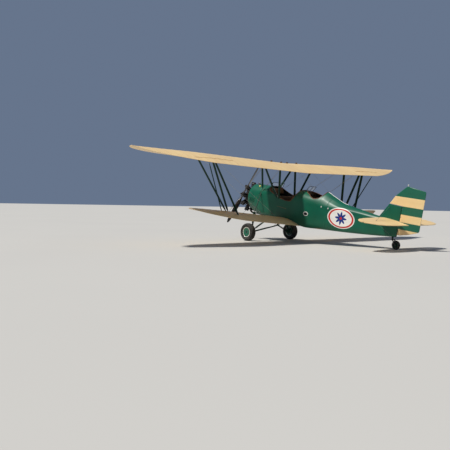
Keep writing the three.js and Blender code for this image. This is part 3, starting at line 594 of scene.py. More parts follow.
def hide(name, light, dark):
    """Leather: warm clouds in the colour, creases from a finer noise, and pores between them."""
    made = Finish(name, coat_weight=0.12, coat_roughness=0.35)
    cloud = made.noise(6, 4)
    crease = made.noise(52.5, 3, 0.6)
    pores = made.noise(600.0, 2)
    shade = made.mix(light, dark, cloud.above(0.48, 0.25) * 0.7)
    shade = made.mix(shade, dark, crease.below(0.42, 0.1) * 0.5)
    made.set(base_color=shade, roughness=0.42 + 0.25 * cloud)
    return made.bump(crease * 0.7 + pores * 0.3, 0.0016, 0.6).material


green = green_dope()
cream = cream_dope()
rudder_dope = cream_dope("rudder_dope", banded=True)
# Black enamel with an oily sheen that comes and goes, and brown heat stains
engine_enamel = clouded("engine_enamel", linear(30, 30, 32), linear(62, 52, 44), (14, 3), (0.56, 0.2), 0.5,
                        (0.28, 0.3), ((320, 2), 0.0006, 0.4), metallic=0.35, coat_weight=0.25,
                        coat_roughness=0.2)
# Near-black varnish over wood
propeller_varnish = clouded("propeller_varnish", linear(20, 18, 17), linear(38, 30, 26), (60, 4, 0.6),
                            (0.5, 0.3), 1.0, (0.3, 0.12), (None, 0.0004, 0.25), coat_weight=0.3,
                            coat_roughness=0.18)
# Burnt steel: brown heat colours drift over a dull grey
exhaust_metal = clouded("exhaust_metal", linear(44, 40, 38), linear(78, 58, 44), (8, 4, 0.6), (0.5, 0.25),
                        1.0, (0.42, 0.3), ((260, 2), 0.0005, 0.4), metallic=0.8)
# Weathered black rubber with grey dust in patches and a fine grain
rubber = clouded("tyre_rubber", linear(26, 26, 27), linear(78, 75, 70), (11, 5, 0.6), (0.48, 0.22), 0.55,
                 (0.7, 0.22), ((420, 2), 0.0008, 0.5))
wheel_paint = wheel_finish()
glass = clear_sheet()
pale_metal = plain("pale_metal", linear(206, 206, 200), 0.35, 0.3, 40.0)
lead_brown = plain("lead_brown", linear(88, 60, 38), 0.55, 0.0, 200.0)
seat_hide = hide("seat_hide", linear(126, 76, 44), linear(78, 44, 26))
strut_paint = plain("strut_paint", linear(8, 52, 38), 0.5, specular=0.2)
black = plain("engine_black", linear(24, 24, 26), 0.42, 0.3)
steel = plain("wire_steel", linear(150, 152, 155), 0.3, 0.9)
amber = plain("amber_lamp", linear(248, 228, 130), 0.3)
tan_paint = plain("tan_paint", linear(150, 118, 70), 0.5)
dial_black = plain("dial_black", linear(16, 16, 17), 0.35)
white_paint = plain("white_paint", linear(232, 232, 226), 0.35)
plywood = plain("plywood", linear(128, 96, 62), 0.55, grain=30)
lining = plain("cockpit_lining", linear(46, 54, 48), 0.6)

# The solids' material behind each finish, where a piece names no other
SLOTS = {
    "green_dope": "green_fabric", "cockpit_lining": "green_fabric", "tan_paint": "green_fabric",
    "cream_dope": "cream_fabric", "rudder_dope": "cream_fabric", "strut_paint": "strut_paint",
    "engine_enamel": "engine_black", "engine_black": "engine_black", "exhaust_metal": "engine_black",
    "lead_brown": "engine_black", "dial_black": "engine_black", "propeller_varnish": "propeller_finish",
    "wheel_paint": "wheel_disc", "pale_metal": "wheel_disc", "white_paint": "wheel_disc",
    "tyre_rubber": "tyre_rubber", "wire_steel": "stay_steel", "seat_hide": "seat_leather",
    "amber_lamp": "seat_leather", "plywood": "seat_leather",
}


# Fuselage

SWIVEL_X = AXLE.x - 5.4
# Two corners of the rudder's lowest hinge lug
STERN_LUG = ((-5.44, -0.004, 1.318), (-5.39, 0.004, 1.342))
# The cowl's mouth: its plane, its radius, the steps in to it from the cowl's edge and the lip's steps back
MOUTH = dict(x=1.056, radius=0.262, steps=(0.12, 0.4, 0.7, 0.93, 1.0), lip=(-0.008, -0.03, -0.07))


def half_ring(row, top, count):
    """Port half of a section from a top edge to the middle of the belly: two quarter superellipses that
    meet at the widest line, cut at the edge's height, in equal steps along the curve."""
    _, half, widest, belly, crown, belly_power, crown_power = row
    angle = np.linspace(np.pi / 2, -np.pi / 2, 1441)
    cos, sin = np.cos(angle), np.sin(angle)
    power = np.where(sin < 0, belly_power, crown_power)
    reach = np.where(sin < 0, widest - belly, crown - widest)
    y = np.abs(cos) ** (2 / power) * half
    z = widest + np.sign(sin) * np.abs(sin) ** (2 / power) * reach
    start = np.interp(-min(top, crown), -z, np.arange(len(z)))
    at = np.concatenate([[start], np.arange(math.floor(start) + 1, len(z))])
    y, z = (np.interp(at, np.arange(len(z)), value) for value in (y, z))
    y[-1] = 0
    arc = arc_of(np.column_stack([y, z]))
    steps = np.linspace(0, arc[-1], count)
    return np.column_stack([np.interp(steps, arc, y), np.interp(steps, arc, z)])


def cut_height(x):
    """Height of the cockpits' rims at stations along the fuselage, far above it where it is closed."""
    front = smooth(x, FRONT_CUT[:, 0], FRONT_CUT[:, 1])
    rear = smooth(x, REAR_CUT[:, 0], REAR_CUT[:, 1])
    inside_front = (x < FRONT_CUT[0, 0]) & (x > FRONT_CUT[-1, 0])
    inside_rear = (x < REAR_CUT[0, 0]) & (x > REAR_CUT[-1, 0])
    return np.where(inside_front, front, np.where(inside_rear, rear, 3.0))


def stations_along(cut, count=64):
    """Stations at equal steps along a rim's curve, so that its steep ends are drawn finely."""
    x = np.linspace(cut[-1, 0], cut[0, 0], 2000)
    z = smooth(x, cut[:, 0], cut[:, 1])
    low = z < 2.0
    x, z = x[low], z[low]
    arc = arc_of(np.column_stack([x, z]))
    return np.interp(np.linspace(0, arc[-1], count), arc, x)


# Stringers as shares of the way from the crown to the belly, and how far the fabric sags between them
STRINGERS = np.array([0, 0.11, 0.22, 0.34, 0.5, 0.66, 0.82, 1.0])
SAG = 0.006


def hull(stations, count=48, inset=0.0, sag=True):
    """Rings of the fuselage, port rim to belly to starboard rim, the fabric hollowed between stringers."""
    rows = smooth(stations, SECTIONS[:, 0], SECTIONS)
    tops = cut_height(stations)
    half = np.array([half_ring(row, top, count) for row, top in zip(rows, tops)])
    share = np.linspace(0, 1, count)
    low = np.searchsorted(STRINGERS, share, side="right").clip(1, len(STRINGERS) - 1)
    local = (share - STRINGERS[low - 1]) / (STRINGERS[low] - STRINGERS[low - 1])
    hollow = 4 * local * (1 - local) * (SAG if sag else 0)
    fabric = ramp(-stations, 2.2, 3.1) * rows[:, 1] / 0.4
    edge = np.gradient(half, axis=1)
    normal = np.stack([-edge[..., 1], edge[..., 0]], -1)
    normal /= np.linalg.norm(normal, axis=-1, keepdims=True) + 1e-12
    normal[:, 0] = np.where(half[:, :1, 0] < 1e-6, (0, 1), normal[:, 0])
    normal[:, -1] = (0, -1)
    half = half - normal * (hollow[None] * fabric[:, None] + inset)[..., None]
    half[:, -1, 0] = 0
    closed = tops > rows[:, 4]
    half[:, 0, 0] = np.where(closed, 0, half[:, 0, 0])
    other = half[:, -2::-1] * (-1, 1)
    ring = np.concatenate([half, other], axis=1)
    x = np.broadcast_to(stations[:, None, None], ring.shape[:2] + (1,))
    return np.concatenate([x, ring], -1)


def cockpit_stations():
    """Even stations from the firewall to the rear hull, with the closer ones of both rims."""
    even = np.linspace(COCKPIT_END, FIREWALL - SEAM, 90)
    return np.unique(np.concatenate([even, stations_along(FRONT_CUT), stations_along(REAR_CUT)]))[::-1]


def fuselage():
    """The open shell round the cockpits, the closed rear hull, the tape over the joint between them, the
    bulkhead between the cockpits, the floor, and the lug and socket at the stern."""
    stations = cockpit_stations()
    piece("cockpit_shell", [lattice(hull(stations))], green,
          stands_for=["fuselage_cockpits", "fuselage_pilot_bay"], wall=0.012, lining=lining, crease=30)
    tail_stations = np.linspace(COCKPIT_END - SEAM, STERN, 90)
    rings = hull(tail_stations)[:, :-1]
    piece("tail_hull", [capped(rings), block(*STERN_LUG)], green, stands_for=["fuselage_tail"], crease=30)
    tape = hull(np.linspace(COCKPIT_END - 0.02, COCKPIT_END + 0.02, 5), inset=-0.0012)[:, :-1]
    piece("hull_tape", [lattice(tape, around=True)], green, wall=0.001)
    wall = hull(np.array([BULKHEAD + 0.01, BULKHEAD - 0.01]), inset=0.013, sag=False)[:, :-1]
    piece("bulkhead", [capped(wall)], lining)
    rear_wall = hull(np.array([COCKPIT_END + 0.05, COCKPIT_END + 0.04]), inset=0.013, sag=False)[:, :-1]
    piece("rear_former", [capped(rear_wall)], lining)
    socket = turned(collar(0.0, 0.034, 0.374, 0.5), (SWIVEL_X, 0, 0), UP, 28)
    piece("tail_socket", [socket], strut_paint, place=lambda points: points, bevel=0.002)


def cowl():
    """The sections from the firewall forward, then rings that close in from the front edge to the round
    mouth about the thrust line, and a short lip turned back inside it."""
    stations = np.concatenate([np.linspace(FIREWALL + SEAM, 0.98, 26), np.linspace(0.99, 1.06, 12)])
    skin = hull(stations, sag=False)[:, :-1]
    ring = skin[-1]
    angle = np.arctan2(ring[:, 2] - THRUST_Z, ring[:, 1])
    round_part = np.column_stack([0 * angle, np.cos(angle), np.sin(angle)])
    mouth = np.array([MOUTH["x"], 0, THRUST_Z]) + MOUTH["radius"] * round_part
    shares = np.array(MOUTH["steps"])[:, None, None]
    face = ring * (1 - shares) + mouth * shares
    lip = mouth + np.array(MOUTH["lip"])[:, None, None] * np.array([1, 0, 0])
    points = np.concatenate([skin, face, lip])
    piece("nose_barrel", [lattice(points, around=True)], green, slot="cowl_metal",
          stands_for=["nose_cowl"], wall=0.003, crease=30)


fuselage()
cowl()


# Wings

def section(f, chord, thickness):
    """Upper and lower heights at shares of the chord: a rounded-nose thickness about a bowed mean line."""
    swell = 0.2969 * np.sqrt(f) - 0.126 * f - 0.3516 * f ** 2 + 0.2843 * f ** 3 - 0.1036 * f ** 4
    half = 5 * thickness * swell
    mean = SECTION["camber"] * f * (1 - f)
    blunt = np.where(f > 0.999, SECTION["edge"] / chord, 0)
    return (mean + half + blunt) * chord, (mean - half - blunt) * chord


def planform(wing, y):
    """Leading edge, chord, thickness, rise of the trailing edge and the leading edge's share of it. The
    leading edge rounds back along a quarter ellipse and the raked trailing edge sweeps forward by a power."""
    fore, aft = (np.clip((y - start) / (wing["half"] - start), 0, 1)
                 for start in (wing["lead_from"], wing["trail_from"]))
    back = wing["lead_reach"] * (1 - np.sqrt(1 - fore ** 2))
    forward = wing["trail_reach"] * aft ** SECTION["rake"]
    chord = wing["chord"] - back - forward
    slim = SECTION["thickness"] * (1 - SECTION["slimmer"] * (1 - chord / wing["chord"]))
    crest = lambda length, ratio: length * (SECTION["camber"] / 4 + ratio / 2)
    rise = SECTION["tip_rise"] * (crest(wing["chord"], SECTION["thickness"]) - crest(chord, slim))
    return (wing["lead"] - back, chord, np.maximum(slim, SECTION["bow"] / chord), rise,
            np.sqrt(back / wing["lead_reach"]))


def sagging(f, y):
    """How far the fabric sinks between ribs: deepest midway, none over the nose and at the trailing edge."""
    span = np.sin(np.pi * y / RIB_PITCH) ** 2
    return 0.0035 * span ** 0.6 * ramp(f, 0.07, 0.2) * (1 - ramp(f, 0.9, 0.99))


CHORD_STEPS = 0.5 - 0.5 * np.cos(np.linspace(0, np.pi, 34))


def wing_skin(wing, y, cut=None, bay=None):
    """Rings of a wing in its panel's frame, trailing edge over the top to the nose and back below. Inside a
    bay, points behind the cut lie on the spar's face instead, spaced down it."""
    lead, chord, thickness, rise, tip_share = (value[:, None] for value in planform(wing, y))
    steps = CHORD_STEPS
    if cut is not None:
        steps = np.unique(np.append(CHORD_STEPS, (wing["lead"] - cut) / wing["chord"]))
    f = steps[None, :] * np.ones_like(chord)
    limit = np.ones_like(chord)
    if bay is not None:
        limit = np.where(bay[:, None], (lead - cut) / chord, 1.0)
    at = np.minimum(f, limit)
    upper, lower = section(at, chord, thickness)
    sink = sagging(at, y[:, None])
    upper, lower = upper - sink, lower + 0.6 * sink
    share = np.where(f > limit, (f - limit) / np.maximum(1 - limit, 1e-6), 0)
    middle = (upper + lower) / 2
    upper, lower = upper + (middle - upper) * share, lower + (middle - lower) * share
    tip = np.sqrt(np.clip(1 - ((y - wing["half"] + 0.02) / 0.02).clip(0) ** 2, 0, 1))[:, None]
    upper, lower = middle + (upper - middle) * tip, middle + (lower - middle) * tip
    x = lead - at * chord
    lift = rise * (tip_share + (1 - tip_share) * at)
    across = np.broadcast_to((y - wing["root"])[:, None], x.shape)
    top = np.stack([x, across, upper + lift], -1)[:, ::-1]
    under = np.stack([x, across, lower + lift], -1)[:, 1:]
    return np.concatenate([top, under], axis=1)


def hung(points, wing, side):
    """A panel's frame to the level frame: the outboard end leans up by the dihedral about the root."""
    lean = math.atan(wing["dihedral"])
    x, y, z = np.moveaxis(points, -1, 0)
    base = wing["height"] + (wing["dihedral"] * wing["root"] if wing is UPPER else 0)
    out = wing["root"] + y * math.cos(lean) - z * math.sin(lean)
    return np.stack([x, side * out, base + y * math.sin(lean) + z * math.cos(lean)], -1)


def span_steps(wing, start, marks=()):
    """Span stations: ten to a rib bay, finer round the tip, and pairs at the marks where the shape jumps."""
    plain_part = np.arange(start, wing["lead_from"], RIB_PITCH / 10)
    share = np.sin(np.linspace(0, np.pi / 2, 60)) ** 0.9
    tip = wing["lead_from"] + share * (wing["half"] - wing["lead_from"])
    return np.sort(np.concatenate([plain_part, tip, np.repeat(marks, 2)]))


def wings():
    """Upper panels with a bay cut for each aileron, lower panels and the centre section between the roots."""
    spar_face = HINGE_X + AILERON["gap"]
    marks = np.array([AILERON["start"] - AILERON["ends"], AILERON["end"] + AILERON["ends"]])
    for name, side in SIDES.items():
        y = span_steps(UPPER, UPPER["root"] + SEAM, marks)
        order = np.arange(len(y))
        first = np.searchsorted(y, marks[0]) + 1
        last = np.searchsorted(y, marks[1])
        bay = (order >= first) & (order <= last)
        skin = hung(wing_skin(UPPER, y, spar_face, bay), UPPER, side)
        piece(f"upper_panel_{name}", [capped(skin)], cream, stands_for=[f"upper_wing_{name}"], crease=40)
        y = span_steps(LOWER, LOWER["root"] + 0.015)
        skin = hung(wing_skin(LOWER, y), LOWER, side)
        piece(f"lower_panel_{name}", [capped(skin)], cream, stands_for=[f"lower_wing_{name}"], crease=40)
    y = np.linspace(-UPPER["root"], UPPER["root"], 61)
    middle = wing_skin(dict(UPPER, root=0), y)
    middle[..., 2] += UPPER["height"] + np.abs(y)[:, None] * UPPER["dihedral"]
    piece("centre_section", [capped(middle)], cream, stands_for=["upper_wing_centre"], crease=40)


wings()


# Hinged surfaces

NOTCH = dict(half=0.011, deep=0.026)


def rounding(distance, radius):
    """Height of a quarter circle over the distance from an edge, 0 at the edge and 1 past the radius."""
    return np.sqrt(1 - (1 - np.clip(distance / radius, 0, 1)) ** 2)


def notched(stations, places):
    """How far a moving surface's front edge is cut back at its hinge lugs."""
    near = np.abs(stations[:, None] - np.asarray(places)[None, :]).min(1) < NOTCH["half"]
    return np.where(near, NOTCH["deep"], 0.0)


def stations_for(start, end, edge, places=(), step=0.02, extra=()):
    """Even stations, closer ones in the rounded ends, and pairs at each side of the hinge lugs."""
    ends = edge * (1 - np.cos(np.linspace(0, np.pi / 2, 6)))
    pairs = [place + sign * (NOTCH["half"] + off)
             for place in places for sign in (-1, 1) for off in (-1e-4, 1e-4)]
    spaced = np.arange(start + edge, end - edge, step)
    return np.unique(np.concatenate([start + ends, spaced, end - ends, pairs, list(extra)]))


def slab(front, back, stations, peak, edge, rib=0.0, around=56):
    """Rings round a thin surface: from its front to its back edge the half thickness swells from the edge's
    to the peak's a third of the way and thins again, all edges are rounded, and the cloth sinks between ribs.
    Columns are x, thickness and station."""
    angle = round_angles(around)
    share = (0.5 - 0.5 * np.cos(angle))[None, :]
    chord = (front - back)[:, None]
    x = front[:, None] - share * chord
    half = edge + (peak - edge) * 2.6 * np.sqrt(share) * (1 - share)
    if rib:
        sink = 0.0022 * np.sin(np.pi * stations / rib)[:, None] ** 2 * ramp(share, 0.1, 0.3)
        half = half - sink * (1 - ramp(share, 0.85, 0.97))
    half = half * rounding(np.minimum(share, 1 - share) * chord, edge)
    half = half * rounding(np.minimum(stations - stations[0], stations[-1] - stations), edge)[:, None]
    side = np.sign(np.sin(angle))[None, :] * half
    return np.stack([x, side, np.broadcast_to(stations[:, None], x.shape)], -1)


def flat(rings, height, side=1):
    """Stations across the aircraft: the thickness is upright about a height."""
    x, thick, station = np.moveaxis(rings, -1, 0)
    return np.stack([x, side * station, height + thick], -1)


STABILISER = dict(height=1.608, hinge=-5.38, gap=0.02, half=1.842, places=(0.26, 0.95, 1.6))
FIN_HINGE = dict(x=-5.43, gap=0.018, places=(1.76, 2.02), stern=1.33)
# Outlines as pairs of a station and the edge's x there
RUDDER_FRONT = np.array([[1.185, -5.428], [2.1139, -5.428], [2.1141, -4.962], [2.39, -5.12], [2.6, -5.32],
                         [2.7, -5.42], [2.742, -5.47], [2.748, -5.5]])
RUDDER_BACK = np.array([[1.185, -5.44], [1.19, -5.52], [1.275, -5.8], [1.4, -6.1], [1.44, -6.15],
                        [1.48, -6.158], [2.6, -6.136], [2.672, -6.125], [2.694, -6.09], [2.748, -5.53]])
FIN_FRONT = np.array([[1.6, -4.652], [1.69, -4.7], [2.06, -4.93], [2.098, -4.95]])
STABILISER_FRONT = np.array([[0.0, -4.8], [0.25, -4.815], [1.25, -4.93], [1.6, -5.02], [1.75, -5.11],
                             [1.812, -5.19], [1.836, -5.285], [1.842, -5.36]])
ELEVATOR_BACK = np.array([[0.062, -5.4], [0.068, -5.44], [0.296, -5.935], [0.9, -5.925], [1.35, -5.88],
                          [1.64, -5.78], [1.775, -5.64], [1.842, -5.48], [1.85, -5.39]])


def along_outline(stations, outline):
    """An edge's x at stations, straight between an outline's points."""
    return np.interp(stations, outline[:, 0], outline[:, 1])


def lug_at(axis, x, place, offset):
    """A small plate that reaches from a fixed surface to its hinge line."""
    ahead, behind, wide, tall = 0.04, 0.01, 0.004, 0.012
    if axis == "y":
        return block((x - behind, place - wide, offset - tall), (x + ahead, place + wide, offset + tall))
    return block((x - behind, offset - tall, place - wide), (x + ahead, offset + tall, place + wide))


def pin_at(axis, x, place, offset):
    """The hinge pin across a notch."""
    reach = NOTCH["half"] + 0.008
    if axis == "y":
        return rod((x, place - reach, offset), (x, place + reach, offset), 0.003)
    return rod((x, offset, place - reach), (x, offset, place + reach), 0.003)


def tail_surfaces():
    """Stabiliser, fin, rudder and elevators, ribbed and round-edged, with their hinge lugs and pins."""
    hinge, height = STABILISER["hinge"], STABILISER["height"]
    y = stations_for(-STABILISER["half"], STABILISER["half"], 0.012)
    front = along_outline(np.abs(y), STABILISER_FRONT)
    rings = slab(front, np.full(len(y), hinge + STABILISER["gap"]), y, 0.027, 0.013, rib=0.26)
    places = [side * place for side in (1, -1) for place in STABILISER["places"]]
    lugs = [lug_at("y", hinge, place, height) for place in places]
    piece("stabiliser_skin", [capped(flat(rings, height)), *lugs], cream, stands_for=["stabiliser"])
    z = stations_for(FIN_FRONT[0, 0], FIN_FRONT[-1, 0], 0.01)
    back = np.full(len(z), FIN_HINGE["x"] + FIN_HINGE["gap"])
    rings = slab(along_outline(z, FIN_FRONT), back, z, 0.023, 0.01)
    lugs = [lug_at("z", FIN_HINGE["x"], place, 0) for place in FIN_HINGE["places"]]
    piece("fin_skin", [capped(rings), *lugs], green, stands_for=["fin"])
    places = [*FIN_HINGE["places"], FIN_HINGE["stern"]]
    z = stations_for(1.185, 2.748, 0.011, places, 0.018, extra=RUDDER_FRONT[1:-1, 0])
    front = along_outline(z, RUDDER_FRONT) - notched(z, places)
    rings = slab(front, along_outline(z, RUDDER_BACK), z, 0.024, 0.01, rib=0.235)
    pins = [pin_at("z", FIN_HINGE["x"], place, 0) for place in places]
    piece("rudder_skin", [capped(rings), *pins], rudder_dope, body="rudder", stands_for=["rudder"])
    for name, side in SIDES.items():
        places = STABILISER["places"]
        y = stations_for(0.062, 1.85, 0.006, places, 0.018, extra=ELEVATOR_BACK[1:-1, 0])
        front = hinge + 0.002 - notched(y, places)
        rings = slab(front, along_outline(y, ELEVATOR_BACK), y, 0.025, 0.01, rib=0.26)
        pins = [mirrored(pin_at("y", hinge, place, height), side) for place in places]
        piece(f"elevator_skin_{name}", [capped(flat(rings, height, side)), *pins], cream, body="elevator",
              stands_for=[f"elevator_{name}"])


def ailerons():
    """The wing's own section behind the hinge, with a rounded nose, notches at the lugs and hinge pins."""
    for name, side in SIDES.items():
        places = AILERON["places"]
        y = stations_for(AILERON["start"], AILERON["end"], 0.004, places)
        lead, chord, thickness, rise, _ = (value[:, None] for value in planform(UPPER, y))
        front = (HINGE_X + AILERON["nose"] - notched(y, places))[:, None]
        share = (0.5 - 0.5 * np.cos(np.linspace(0, np.pi, 30)))[None, :]
        x = front - share * (front - (lead - chord))
        f = (lead - x) / chord
        upper, lower = section(np.clip(f, 0, 1), chord, thickness)
        sink = sagging(np.clip(f, 0, 1), y[:, None])
        upper, lower = upper - sink, lower + 0.6 * sink
        middle = (upper + lower) / 2
        shape = rounding(front - x, 0.018) * rounding(np.minimum(y - y[0], y[-1] - y), 0.004)[:, None]
        across = np.broadcast_to((y - UPPER["root"])[:, None], x.shape)
        top, under = (np.stack([x, across, middle + (edge - middle) * shape + rise * f], -1)
                      for edge in (upper, lower))
        skin = hung(np.concatenate([top[:, ::-1], under[:, 1:]], axis=1), UPPER, side)
        pins, lugs = [], []
        for made, shape_at in ((pins, pin_at), (lugs, lug_at)):
            for place in places:
                points, faces = shape_at("y", HINGE_X, place - UPPER["root"], AILERON["hinge_z"])
                made.append((hung(points, UPPER, side), faces))
        piece(f"aileron_skin_{name}", [capped(skin), *pins], cream, body=f"aileron_{name}",
              stands_for=[f"aileron_{name}"], crease=40)
        piece(f"aileron_lugs_{name}", lugs, strut_paint)


tail_surfaces()
ailerons()


# Struts and stays

STRUT = dict(wide=0.106, thick=0.042, taper=0.16, tip=0.42)
INTERPLANE = dict(head_y=4.04, head_z=2.645, foot_y=3.155, foot_z=0.948)
# Struts between the wings: the head's and the foot's x
INTERPLANE_LINES = {"front": (0.06, -0.8), "diagonal": (-0.768, -0.905), "rear": (-0.876, -1.43)}
# Struts from the fuselage to the centre section: the head's x and the foot's x, y and z
CABANE_HEAD = dict(y=0.86, z=2.55)
CABANE_LINES = {"front": (0.11, 0.3, 0.455, 1.62), "diagonal": (0.0, -0.545, 0.48, 1.4),
                "rear": (-0.82, -0.635, 0.48, 1.38)}
# Stays that the frame has: inner end and outer end on the port side
STAYS = {
    "flying_wire_front": ((0.23, 0.47, 0.72), (0.08, 3.9, 2.64)),
    "flying_wire_rear": ((-0.7, 0.47, 0.7), (-0.75, 3.9, 2.64)),
    "landing_wire": ((0.05, 0.815, 2.545), (-0.77, 3.02, 0.9)),
}
# Lighter bracing beside them: the same columns
BRACES = [
    ((-0.83, 0.815, 2.545), (-1.4, 3.02, 0.905)),
    ((0.255, 0.48, 1.56), (-0.79, 0.85, 2.53)),
    ((-0.63, 0.49, 1.42), (0.06, 0.85, 2.54)),
    ((-4.98, 0.02, 2.0), (-5.33, 1.15, 1.63)),
    ((-5.2, 0.07, 1.15), (-5.33, 1.15, 1.59)),
]
WIRE = dict(wide=0.0085, thick=0.0042, apart=0.036, barrel=0.0075, barrel_long=0.13, fork=0.3)


def strut(head, foot, wide=STRUT["wide"], thick=STRUT["thick"], count=24):
    """A teardrop section, blunt side forward, along a line. Near each end it narrows to a flat lug."""
    head, foot = np.asarray(head, float), np.asarray(foot, float)
    length = np.linalg.norm(foot - head)
    along, fore, side = teardrop(head, foot, wide, thick, count)
    near = STRUT["taper"] * np.linspace(0, 1, 9)
    straight = np.linspace(STRUT["taper"], length - STRUT["taper"], 12)[1:-1]
    at = np.concatenate([near, straight, length - near[::-1]])[:, None, None]
    swell = STRUT["tip"] + (1 - STRUT["tip"]) * ramp(np.minimum(at, length - at), 0.02, STRUT["taper"])
    return capped(head + at * along + swell * fore + (0.6 + 0.4 * swell) * side)


def end_fitting(point, toward, reach=0.1, wide=0.03, thick=0.012):
    """A fork at a strut's end: two cheeks and a bolt across them."""
    point, toward = np.asarray(point, float), np.asarray(toward, float)
    along = (toward - point) / np.linalg.norm(toward - point)
    far = point + reach * along
    cheeks = [streamlined(point + offset, far + offset, wide, 0.005)
              for offset in (np.array([0, sign * thick, 0.0]) for sign in (-1, 1))]
    middle = point + 0.55 * reach * along
    pin = rod(middle - (0, 2.1 * thick, 0), middle + (0, 2.1 * thick, 0), 0.008, 8)
    return [*cheeks, pin]


def cabane_ends(line, side):
    """Head and foot of a strut from the fuselage to the centre section."""
    head_x, foot_x, foot_y, foot_z = line
    return ((head_x, side * CABANE_HEAD["y"], CABANE_HEAD["z"]), (foot_x, side * foot_y, foot_z))


def interplane_ends(line, side):
    """Head and foot of a strut between the wings."""
    head_x, foot_x = line
    head = (head_x, side * INTERPLANE["head_y"], INTERPLANE["head_z"])
    return head, (foot_x, side * INTERPLANE["foot_y"], INTERPLANE["foot_z"])


def struts():
    """The N-shaped struts between the wings and the cabane struts, each with forks and bolts at its ends."""
    for name, side in SIDES.items():
        for group, ends_of, lines in (("interplane_strut", interplane_ends, INTERPLANE_LINES),
                                      ("cabane_strut", cabane_ends, CABANE_LINES)):
            for place, line in lines.items():
                head, foot = (np.array(end) for end in ends_of(line, side))
                width = STRUT["wide"] * (1.0 if group == "interplane_strut" else 0.92)
                down = (foot - head) / np.linalg.norm(foot - head)
                fittings = end_fitting(head + 0.03 * down, foot) + end_fitting(foot - 0.03 * down, head)
                node = f"{group}_{place}_{name}"
                piece(f"{node}_fairing", [strut(head, foot, wide=width), *fittings], strut_paint,
                      stands_for=[node])


def stay(inner, outer, apart=0.0):
    """Flat wires side by side with a threaded barrel near the lower end and a thin fork at each end."""
    inner, outer = np.asarray(inner, float), np.asarray(outer, float)
    length = np.linalg.norm(outer - inner)
    along = (outer - inner) / length
    low = inner if inner[2] < outer[2] else outer
    inward = along if low is inner else -along
    made = []
    for sign in ((-1, 1) if apart else (0,)):
        shift = np.array([sign * apart / 2, 0, 0])
        start, end = inner + shift, outer + shift
        made.append(streamlined(start, end, WIRE["wide"], WIRE["thick"], 8))
        first = low + shift + WIRE["fork"] * inward
        made.append(rod(first, first + WIRE["barrel_long"] * inward, WIRE["barrel"], 8))
        for point, way in ((start, along), (end, -along)):
            made.append(streamlined(point, point + 0.07 * way, 0.018, 0.009, 8))
    return made


def stays():
    """The main stays in pairs and the lighter bracing."""
    for name, side in SIDES.items():
        flip = np.array([1.0, side, 1.0])
        for place, (inner, outer) in STAYS.items():
            pair = stay(inner * flip, outer * flip, WIRE["apart"])
            piece(f"{place}_pair_{name}", pair, steel, stands_for=[f"{place}_{name}"])
        made = [surface for inner, outer in BRACES for surface in stay(inner * flip, outer * flip)]
        piece(f"bracing_{name}", made, steel)


struts()
stays()


# Engine and propeller

ROW_X = 1.265
CYLINDERS = 9
# The crankcase's profile from the rear plate to the shaft's end, as radius and x
CRANKCASE = [
    (0.0, 0.98), (0.15, 0.984), (0.23, 0.99), (0.235, 1.0), (0.235, 1.08), (0.231, 1.09),
    (0.212, 1.108), (0.205, 1.12), (0.205, 1.4), (0.201, 1.412), (0.168, 1.47), (0.16, 1.49),
    (0.152, 1.56), (0.14, 1.576), (0.1, 1.64), (0.092, 1.66), (0.082, 1.728), (0.078, 1.738),
    (0.028, 1.738), (0.028, 1.79), (0.0, 1.79),
]
# Barrel and head of a cylinder: radii of core and fins, heights above the thrust line and the fins' pitch
BARREL = dict(root=0.18, flange=0.232, core=0.06, low=0.243, high=0.442, pitch=0.0092, reach=0.0745)
FIN_THICK = 0.003
HEAD = dict(low=0.448, high=0.54, core=0.07, pitch=0.0098, reach=0.088)
COLLECTOR = dict(x=1.115, radius=0.372, tube=0.026)
HARNESS = dict(x=1.345, radius=0.236, tube=0.011, lead=0.0045)
# Mount tubes: x of foot and head, the foot's reach from the thrust line and the head's share of it
MOUNT = dict(foot_x=0.366, head_x=1.01, y=0.3, z=0.33, share=0.42, radius=0.016)
# Rings of nuts on the crankcase: radius of the ring, x, count and size
NUT_RINGS = ((0.19, 1.416, 18, 0.0085), (0.148, 1.57, 12, 0.0075))
# Centre lines of the tail pipe and, for a cylinder that stands on the thrust line, of its pipes and its lead
TAIL_PIPE = [(1.115, 0.1, 0.765), (1.085, 0.14, 0.65), (0.97, 0.17, 0.572), (0.76, 0.18, 0.54)]
STUB_LINE = [(-0.06, 0.03, 0.52), (-0.108, 0.034, 0.485), (-0.14, 0.03, 0.435), (-0.15, 0.02, 0.385)]
INTAKE_LINE = [(-0.056, -0.032, 0.52), (-0.082, -0.046, 0.44), (-0.094, -0.052, 0.33),
               (-0.12, -0.045, 0.215)]
LEAD_LINE = [(0.08, 0.06, 0.232), (0.075, 0.085, 0.33), (0.04, 0.11, 0.45), (0.014, 0.118, 0.533)]
# A rocker box from the side, as x from its middle and height
ROCKER_BOX = [(-0.036, 0.52), (0.036, 0.52), (0.034, 0.572), (0.02, 0.588), (-0.02, 0.588),
              (-0.034, 0.572)]


def fins(row):
    """Radius and height pairs of thin round fins on a core, each with a rounded edge."""
    core, reach = row["core"], row["reach"]
    pairs = []
    for base in np.arange(row["low"], row["high"] - FIN_THICK, row["pitch"]):
        pairs += [(core, base), (reach - 0.001, base), (reach, base + FIN_THICK / 2),
                  (reach - 0.001, base + FIN_THICK), (core, base + FIN_THICK)]
    return pairs


